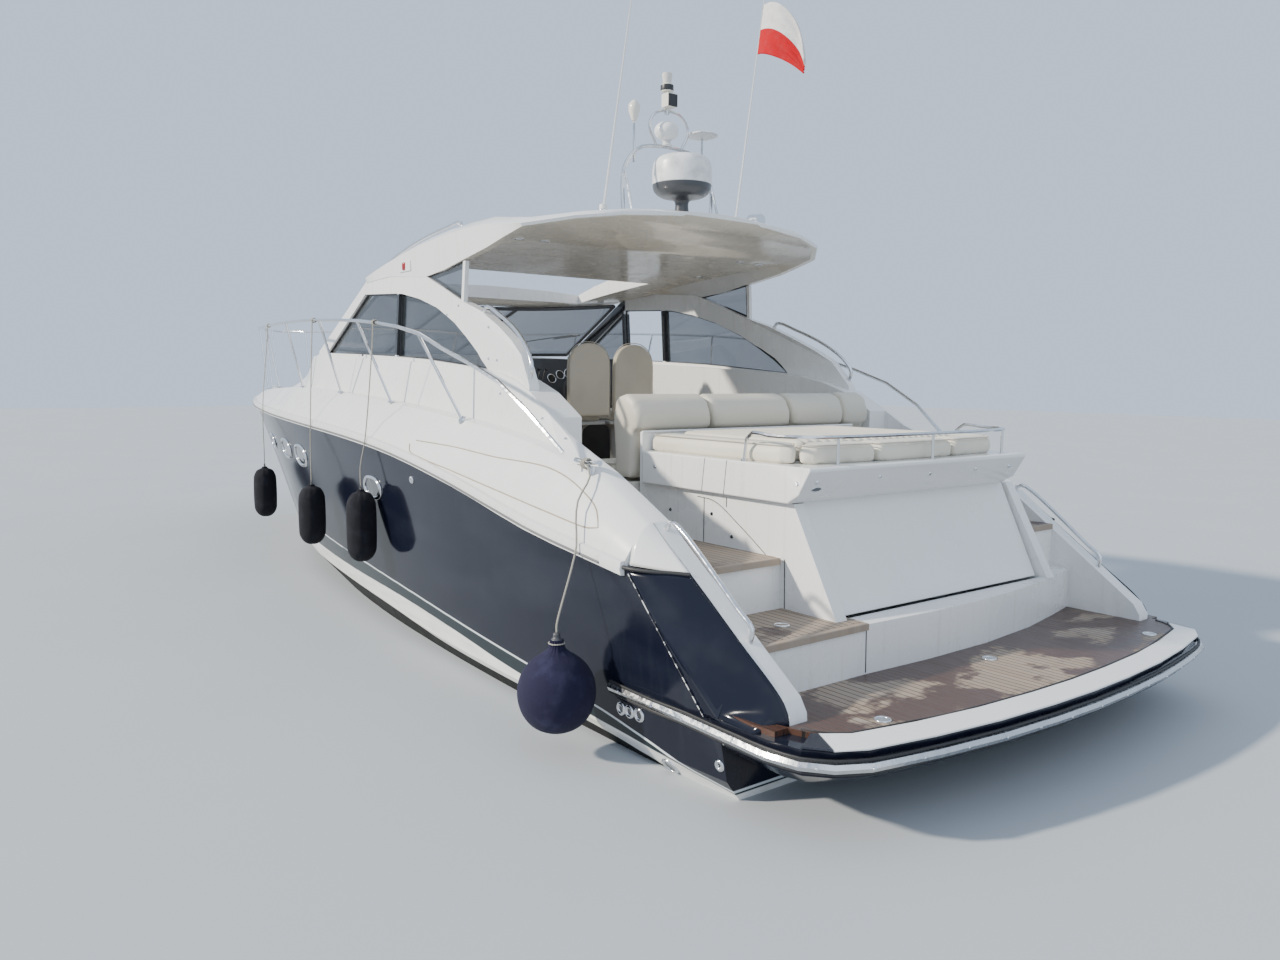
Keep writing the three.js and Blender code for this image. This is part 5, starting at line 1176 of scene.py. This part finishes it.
pillar = arch_coat.times(arch_coat.ramp(inboard, -0.3, -0.4), arch_coat.ramp(arch_coat.x, -0.66, -0.64))
posts = arch_coat.times(posts, arch_coat.band(arch_coat.z, 2.36, 2.9))
arch_coat.over(arch_coat.sum("MAXIMUM", posts, pillar), (0.014, 0.014, 0.015))
arch_studs = []
for word, side in SIDES.items():
    dressed(f"arch_{word}", arch_coat, 34, 0.012)
    for place in STUD_LINE:
        hits = abeam(f"arch_{word}", side, [place]) + abeam("deck_moulding", side, [place])
        arch_studs += [hit for hit in hits if abs(hit[0].y) > 1.45][:1]
    arch_studs += abeam("deck_moulding", side, COAMING_STUDS)
studs("canopy_studs", arch_studs, 0.011, 0.007, polished, 14)


def arch_face(x, z):
    """How far outboard the outer face of an arch is."""
    return 1.61 + 0.08 * (max(0.0, -3 - x) / 0.83) ** 1.5 - 0.06 * (z - 2.25)


grabs = [walk([(x, side * (arch_face(x, z) - 0.02), z) for x, z in GRAB], 0.05) for side in SIDES.values()]
bars("arch_grab_rails", grabs, 0.0155, polished, 14)

# Side and quarter windows: tinted toughened panes bonded in black beads behind the arches.
# The forward starboard light is partly open, as its gap shows.
SWEEP = [(-1.47, 2.897), (-1.83, 2.832), (-2.17, 2.742), (-2.53, 2.604), (-2.78, 2.475), (-2.98, 2.362), (-3.15, 2.232),
         (-2.0, 2.318)]
PANES = {
    "side_glass_port_fore": [(0.36, 2.405), (-0.61, 2.945), (-1.36, 2.907), (-1.36, 2.348), (-0.5, 2.38)],
    "side_glass_port_aft": [(-1.4, 2.904), *SWEEP, (-1.4, 2.346)],
    "side_glass_starboard_fore": [(0.34, 2.405), (-0.58, 2.902), (-0.58, 2.377)],
    "side_glass_starboard_aft": [(-1.34, 2.906), *SWEEP, (-1.34, 2.348)],
}
OPENING = [(-0.62, 2.93), (-0.64, 2.94), (-1.3, 2.91), (-1.3, 2.351), (-0.62, 2.375)]
QUARTER = [(-1.96, 3.01), (-2.6, 3.085), (-2.6, 2.79), (-2.31, 2.885), (-1.96, 2.97)]
tinted = mottled("tinted_pane", "glass", 0.03, (0.016, 0.021, 0.025), (0.045, 0.052, 0.056), (3, 4), None, (0.4, 0.75),
                 Alpha=0.5, Coat_Weight=1.0, Coat_Roughness=0.02, IOR=1.5)
bead_rubber = mottled("window_rubber", "black_trim", 0.5, (0.012, 0.012, 0.013), (0.035, 0.035, 0.036), (18,),
                      (150, 0.0004))
beads = []
for node, outline in PANES.items():
    dressed(node, tinted, 30)
    side = SIDES[node.split("_")[2]]
    beads += [[(x, side * (arch_face(x, z) - lift), z) for x, z in outline] for lift in (0.034, 0.046)]
beads.append([(x, -(arch_face(x, z) - 0.04), z) for x, z in OPENING])
bars("window_beads", beads, 0.012, bead_rubber, closed=True)
beads = []
for word, side in SIDES.items():
    dressed(f"quarter_glass_{word}", tinted, 30)
    low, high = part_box(f"quarter_glass_{word}")
    outer = high.y if side > 0 else low.y
    beads += [[(x, outer - side * (lift + 0.06 * (z - 2.78)), z) for x, z in QUARTER] for lift in (0.0, 0.018)]
bars("quarter_window_beads", beads, 0.007, bead_rubber, closed=True)

# Windscreen: one curved raked pane in a black frame, with three wipers parked along its foot.
# The frame is painted alloy with rubber gaskets, and the wipers' blades are rubber too.
WIPER_FEET, WIPER_REACH, WIPER_LIFT, FROM_AHEAD = (-0.95, 0.0, 0.95), 0.42, 0.022, (-1, 0, 0)
screen_paint = mottled("screen_frame_paint", "black_trim", 0.3, (0.01, 0.01, 0.011), (0.04, 0.04, 0.042), (8, 4),
                       (300, 0.0002), Coat_Weight=0.3)
dressed("windscreen_frame", screen_paint, 40)
dressed("windscreen_glass", tinted, 50)
wipers, blades, pivots = [], [], []
for y in WIPER_FEET:
    foot, out = touch("windscreen_glass", (3, y, 2.56), FROM_AHEAD)
    tip, _ = touch("windscreen_glass", (3, y - WIPER_REACH, 2.66), FROM_AHEAD)
    if foot and tip:
        lift = out.normalized() * (WIPER_LIFT if out.x > 0 else -WIPER_LIFT)
        wipers.append(walk([foot + lift, foot.lerp(tip, 0.5) + lift * 1.4, tip + lift], 0.05))
        pivots.append((foot, lift.normalized()))
        blade = [tip.lerp(foot, WIPER_REACH * k / 8 - 0.12) for k in range(9)]
        blades.append([spot + lift * 0.35 for spot, _ in
                       met("windscreen_glass", [(3, p.y, p.z) for p in blade], FROM_AHEAD)])
bars("wiper_arms", wipers, 0.006, screen_paint)
bars("wiper_blades", blades, 0.006, bead_rubber, 6)
studs("wiper_pivots", pivots, 0.022, 0.05, screen_paint, 18)

# Hardtop: a thin moulded roof with a tall crown and a lip all round, beige-grey beneath as painted shade.
# Downlights are let into the lining, and rails and sidelights stand on the roof's edge.
ROOF_RAIL = [(-0.52, -0.008), (-0.5, 0.07), (-0.62, 0.118), (-1.24, 0.148), (-1.9, 0.138), (-2.13, 0.122),
             (-2.2, -0.008)]
SIDELIGHT = [(0.026, 0), (0.034, 0.006), (0.036, 0.035), (0.034, 0.064), (0.026, 0.07)]
SIDELIGHT_TONES = {"port": (0.4, 0.012, 0.01), "starboard": (0.01, 0.25, 0.09)}
roof_coat = gelcoat("hardtop_gelcoat", 0.25)
# Faces that look downward are turned beige-grey: painted shade.
roof_coat.over(roof_coat.ramp(roof_coat.faces(2), -0.35, -0.6), (0.72, 0.66, 0.56))
dressed("hardtop", roof_coat, 32)
lamp_spots = [(x, y, 2.6) for x in (-3.04, -2.2, -0.5) for y in (-1.25, -1.02, 1.07, 1.3) if x < -3 or abs(y) > 1.2]
lamp_rings = [ring(spot - UP * 0.002, DOWN, 0.036, 24) for spot, _ in met("hardtop", lamp_spots, UP)]
bars("downlight_rims", lamp_rings, 0.007, polished, closed=True)
lens = mottled("downlight_lens", "glass", 0.2, (0.74, 0.72, 0.66), (0.55, 0.53, 0.47), (60,), (200, 0.0004))
plate("downlight_lenses", joined([disc(circle, DOWN, 0.001) for circle in lamp_rings]), lens)


def roof_top(x):
    """The height of the roof's edge line."""
    return 3.45 - (x + 3.4) ** 2 / 30.2


roof_rails = [walk([(x, side * 1.33, roof_top(x) - 0.062 + up) for x, up in ROOF_RAIL], 0.06)
              for side in SIDES.values()]
bars("roof_edge_rails", roof_rails, 0.0145, polished, 12)
lamp_black = mottled("sidelight_body", "black_trim", 0.4, (0.012, 0.012, 0.013), (0.03, 0.03, 0.03), (30,),
                     (200, 0.0003))
for word, side in SIDES.items():
    for spot, _ in abeam("hardtop", side, [(-1.54, 3.13)]):
        inner = spot.y - side * 0.012
        near, far = min(spot.y, inner), max(spot.y, inner) + 0.008
        plate(f"sidelight_board_{word}", slab(-1.66, -1.43, near, far, 3.085, 3.175), capping)
        tone = SIDELIGHT_TONES[word]
        glow = mottled(f"sidelight_lens_{word}", "glass", 0.12, tone, tuple(c * 0.6 for c in tone), (90,), None,
                       (0.3, 0.7), Coat_Weight=1.0)
        turned(f"sidelight_{word}", SIDELIGHT, 0.01, (-1.53, inner, 3.095), glow, count=24)

# Sunroof: a plain white moulded panel that slides over the hardtop, in the hardtop's finish with its painted beige-grey
# shade beneath.
# It rides in two tracks, with a rubber seal along each.
dressed("sunroof_panel", roof_coat, 30, 0.01, "sunroof")
seals = [[spot + UP * 0.001 for spot, _ in above("sunroof_panel", [(-3.08 + 1.36 * k / 12, y) for k in range(13)])]
         for y in (-1.0, 1.0)]
bars("sunroof_seals", seals, 0.005, bead_rubber, 6, body="sunroof")

# Radar mast: a polished hoop on struts with a smaller hoop, lamp post and poles above it.
# Stainless tube on feet screwed to the roof, with a white-painted head, a lantern and a steaming lamp.
LAMP_AT = (-3.25, 0.025, 0)
HOOD = [(0.03, 4.508), (0.0525, 4.512), (0.0535, 4.535), (0.0525, 4.556), (0.03, 4.561)]
LANTERN = [(0.033, 4.575), (0.036, 4.59), (0.0405, 4.62), (0.0425, 4.647)]
LAMP_WINDOW = [(-0.018, 4.38), (0.068, 4.38), (0.068, 4.47), (-0.018, 4.47)]
MAST_FEET = [(-3.25, 0.46), (-3.25, -0.46), (-3.4, 0.44), (-3.4, -0.44)]
mast_steel = steel_finish("mast_steel", (0.6, 0.61, 0.63), 0.16)
head = mast_steel.ramp(mast_steel.z, 4.351, 4.353)
knob = mast_steel.times(mast_steel.ramp(mast_steel.z, 4.2, 4.215), mast_steel.ramp(mast_steel.y, 0.3, 0.31))
painted = mast_steel.sum("MAXIMUM", head, knob)
mast_steel.over(painted, (0.72, 0.7, 0.62))
mast_steel.feed(mast_steel.shader.inputs["Metallic"], mast_steel.less(1.0, painted))
dressed("radar_mast", mast_steel, 50)
mast_feet = [[spot - UP * 0.004, spot + UP * 0.011] for spot, _ in above("hardtop", MAST_FEET)]
bars("mast_feet", mast_feet, 0.034, polished, 24)
turned("mast_lamp_hood", HOOD, 0.012, LAMP_AT, lamp_black, count=32)
turned("mast_lamp_lens", LANTERN, 0.008, LAMP_AT, lens, count=32)
window = [Vector((-3.328, y, z)) for y, z in LAMP_WINDOW]
bars("steaming_lamp_rim", [window], 0.005, lamp_black, closed=True)
plate("steaming_lamp_window", disc(window, Vector((-1, 0, 0)), 0.002), lamp_black)

# Radar scanner and the small domes: smooth plastic housings, a pale cap over a darker base.
# Each half is moulded, clipped at the parting line and screwed to its pedestal.
RADAR = [(0.01, 0.011), (0.14, 0.012), (0.148, 0.02), (0.12, 0.03), (0.066, 0.05), (0.058, 0.1), (0.06, 0.175),
         (0.1, 0.196), (0.18, 0.215), (0.231, 0.258), (0.244, 0.325), (0.243, 0.42), (0.228, 0.492), (0.182, 0.531),
         (0.09, 0.542), (0.004, 0.5445)]
TV_DOME = [(0.01, 0.0), (0.045, 0.002), (0.047, 0.012), (0.031, 0.024), (0.036, 0.046), (0.076, 0.07), (0.1, 0.112),
           (0.095, 0.152), (0.068, 0.182), (0.03, 0.198), (0.003, 0.2015)]
DISC = [(0.01, 0.0), (0.06, 0.001), (0.1, 0.012), (0.132, 0.023), (0.1345, 0.029), (0.13, 0.036), (0.1, 0.046),
        (0.06, 0.058), (0.02, 0.063), (0.003, 0.0635)]


def dome(name, node, knots, centre, split, low_tone, high_tone):
    """A turned housing with a paler cap above its parting line."""
    plastic = Finish(f"{name}_plastic", "gelcoat", high_tone, 0.32, Coat_Weight=0.15)
    plastic.colour(plastic.mix(plastic.ramp(plastic.z, split - 0.001, split + 0.001), low_tone, high_tone))
    grime = plastic.times(plastic.patches(0.45, 0.8, 9, 5), 0.4)
    tone = plastic.shader.inputs["Base Color"].links[0].from_socket
    plastic.colour(plastic.mix(grime, tone, tuple(c * 0.75 for c in low_tone)))
    plastic.bump(plastic.noise(220), 0.0003).bump(plastic.band(plastic.z, split - 0.003, split + 0.003, 0.001), -0.0025)
    turned(name, knots, 0.012, centre, plastic, node, count=56)


dome("radar_housing", "radar_dome", RADAR, (-3.39, -0.03, 3.438), 3.745, (0.05, 0.052, 0.056), (0.78, 0.78, 0.77))
dome("tv_housing", "tv_dome", TV_DOME, (-3.25, 0.025, 4.07), 4.118, (0.66, 0.66, 0.65), (0.79, 0.79, 0.78))
dome("disc_housing", "disc_aerial", DISC, (-3.25, -0.36, 4.1863), 4.215, (0.6, 0.6, 0.6), (0.76, 0.76, 0.75))

# Whip aerials: white glass-fibre rods on ratchet mounts, raked aft.
# The collars of each mount are stainless and the rods have a fine weave under their paint.
WHIP_FEET = [(-3.39, 0.76), (-2.905, -1.05)]
whip_paint = mottled("whip_paint", "gelcoat", 0.3, (0.78, 0.78, 0.77), (0.6, 0.6, 0.58), (20, 4), (300, 0.0003))
for word in SIDES:
    dressed(f"whip_{word}", whip_paint, 50)
collars = [ring(spot + UP * lift, UP, 0.034, 24) for spot, _ in above("hardtop", WHIP_FEET) for lift in (0.01, 0.045)]
bars("whip_collars", collars, 0.005, polished, closed=True)

# Pennant: a light two-coloured cloth, white over red, on the starboard whip, blown aft with its fly hanging.
# Plain woven polyester with a rope sewn in the luff.
LUFF_FOOT, HOIST, HEAD, FLY = 3.4194, 5.03, 5.43, 0.58
WHIP_X, WHIP_Y, WHIP_RAKE, SWAY = -2.905, -1.05, 0.17, 0.04
STEPS_ALONG, STEPS_UP, THREAD = 44, 24, 1600


def cloth_at(t, s):
    """A point of the pennant: t from the luff to the fly, s from the foot to the head."""
    low, high = HOIST - 0.11 * t - 0.17 * t * t, HEAD - 0.06 * t - 0.515 * t ** 3
    z = low + (high - low) * s
    folds = 0.012 * math.sin(9 * t + 5 * s) * t + 0.02 * t * t * math.sin(26 * s + 3 * t)
    sway = max(-SWAY, min(SWAY, SWAY * math.sin(5 * t) + folds))
    return Vector((WHIP_X - (z - LUFF_FOOT) * WHIP_RAKE - 0.003 - FLY * t, WHIP_Y + sway, z))


grid = [cloth_at(i / STEPS_ALONG, j / STEPS_UP) for i in range(STEPS_ALONG + 1) for j in range(STEPS_UP + 1)]
quads = [(a, d, c, b) for a, b, c, d in gridded(STEPS_ALONG, STEPS_UP)]
pennant = mesh_piece("pennant_cloth", grid, quads)
upper = pennant.data.attributes.new("up", "FLOAT", "POINT")
upper.data.foreach_set("value", [j / STEPS_UP for i in range(STEPS_ALONG + 1) for j in range(STEPS_UP + 1)])
bunting = Finish("bunting", "flag_cloth", (0.5, 0.008, 0.016), 0.85, Specular_IOR_Level=0.2)
height = bunting.add("Attribute", attribute_name="up").outputs["Fac"]
bunting.colour(bunting.mix(bunting.ramp(height, 0.495, 0.505), (0.48, 0.004, 0.012), (0.72, 0.71, 0.69)))
bunting.over(bunting.ramp(bunting.noise(16, 4), 0.45, 0.85, 0, 0.25), (0.3, 0.1, 0.1))
bunting.bump(bunting.woven(bunting.z, bunting.x, THREAD), 0.0004)
fit(smooth_by_angle(pennant), bunting, "pennant")
thick = pennant.modifiers.new("thickness", "SOLIDIFY")
thick.thickness, thick.offset = 0.0012, 0
luff = bars("pennant_luff", [[cloth_at(0, j / 12) + Vector((0.001, 0, 0)) for j in range(13)]], 0.004, rope)

# Searchlight: a polished drum on a stalk on the roof's starboard edge, with a clear lens to the bow.
# Spun steel with a rolled rim and a plain glass.
dressed("searchlight", polished, 40)
low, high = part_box("searchlight")
face_ring = ring((high.x + 0.001, (low.y + high.y) / 2, high.z - 0.066), (1, 0, 0), 0.056, 32)
bars("searchlight_rim", [face_ring], 0.006, polished, closed=True)
plate("searchlight_lens", disc(face_ring, Vector((1, 0, 0)), 0.001), lens)

# Bow rail: one polished stainless tube from the quarter to the stem, on posts with flanged feet.
# Welded and buffed, with round flanges screwed down on sealant.
POST_FEET = [(-3.1, 1.829), (-1.78, 1.821), (-0.55, 1.801), (0.83, 1.701), (2.3, 1.497), (3.8, 1.173), (5.2, 0.712),
             (6.35, 0.27)]
dressed("bow_rail", polished, 50)
shoes = above("deck_moulding", [(x, side * y) for x, y in POST_FEET for side in SIDES.values()], 3)
studs("rail_post_flanges", [(spot + out * 0.004, out) for spot, out in shoes], 0.036, 0.014, polished, 24)

# Foredeck hatch: a smoked acrylic lid in an alloy frame with hinges forward and two handles aft.
# Anodised frame, rubber seal, and the acrylic is bedded in black.
HATCH_CORNERS = [(3.2, -0.235), (3.685, -0.235), (3.685, 0.235), (3.2, 0.235)]
dressed("foredeck_hatch", smoked, 30, 0.006, "foredeck_lid")
hatch_ring = [spot + UP * 0.002 for spot, _ in above("foredeck_hatch", HATCH_CORNERS)]
bars("hatch_frame", [hatch_ring], 0.012, polished, closed=True, body="foredeck_lid")
dogs = [(spot + out * 0.003, out) for spot, out in above("foredeck_hatch", [(3.25, -0.12), (3.25, 0.12)])]
studs("hatch_handles", dogs, 0.024, 0.014, screen_paint, 20, "foredeck_lid")

# Anchor in its bow roller: galvanised plough anchor on a stainless fairlead.
# Hot-dip zinc, spangled and dulled, with bright wear on the edges of the fluke.
ROLLER = [(0.03, -0.05), (0.034, -0.045), (0.026, 0.0), (0.034, 0.045), (0.03, 0.05)]
zinc = steel_finish("galvanised_steel", (0.46, 0.47, 0.48), 0.42)
dressed("anchor", zinc.bump(zinc.pebble(90.0), 0.0006), 30, 0.006)
roller = turned("bow_roller", ROLLER, 0.01, (0, 0, 0), sealant, count=28)
roller.data.transform(Matrix.Translation((7.09, 0, 1.93)) @ Matrix.Rotation(math.pi / 2, 4, "X"))

# Engines: two diesels on the centre bearers, each kept as one plain block in machinery paint.
# They are never seen; the paint is oil-stained.
engine_coat = mottled("machinery_paint", "engine_paint", 0.45, (0.32, 0.33, 0.33), (0.14, 0.13, 0.12), (6, 5),
                      (60, 4, 0.0015), (0.45, 0.75))
for word in SIDES:
    dressed(f"engine_{word}", engine_coat, 30, 0.02)

# Propellers and rudders: cast bronze on steel shafts, with a film of slime below the waterline.
# Four-bladed wheels and balanced spade rudders, faired where they meet their stocks.
bronze = steel_finish("cast_bronze", (0.42, 0.26, 0.12), 0.34, "bronze")
bronze.colour(bronze.mix(bronze.patches(0.4, 0.7, 8, 5), (0.45, 0.27, 0.12), (0.16, 0.2, 0.13)))
bronze.bump(bronze.noise(70, 4), 0.0012)
for word in SIDES:
    dressed(f"propeller_{word}", bronze, 34, 0.004, f"propeller_{word}_body")
    dressed(f"rudder_{word}", bronze, 30, 0.006, f"rudder_{word}_body")
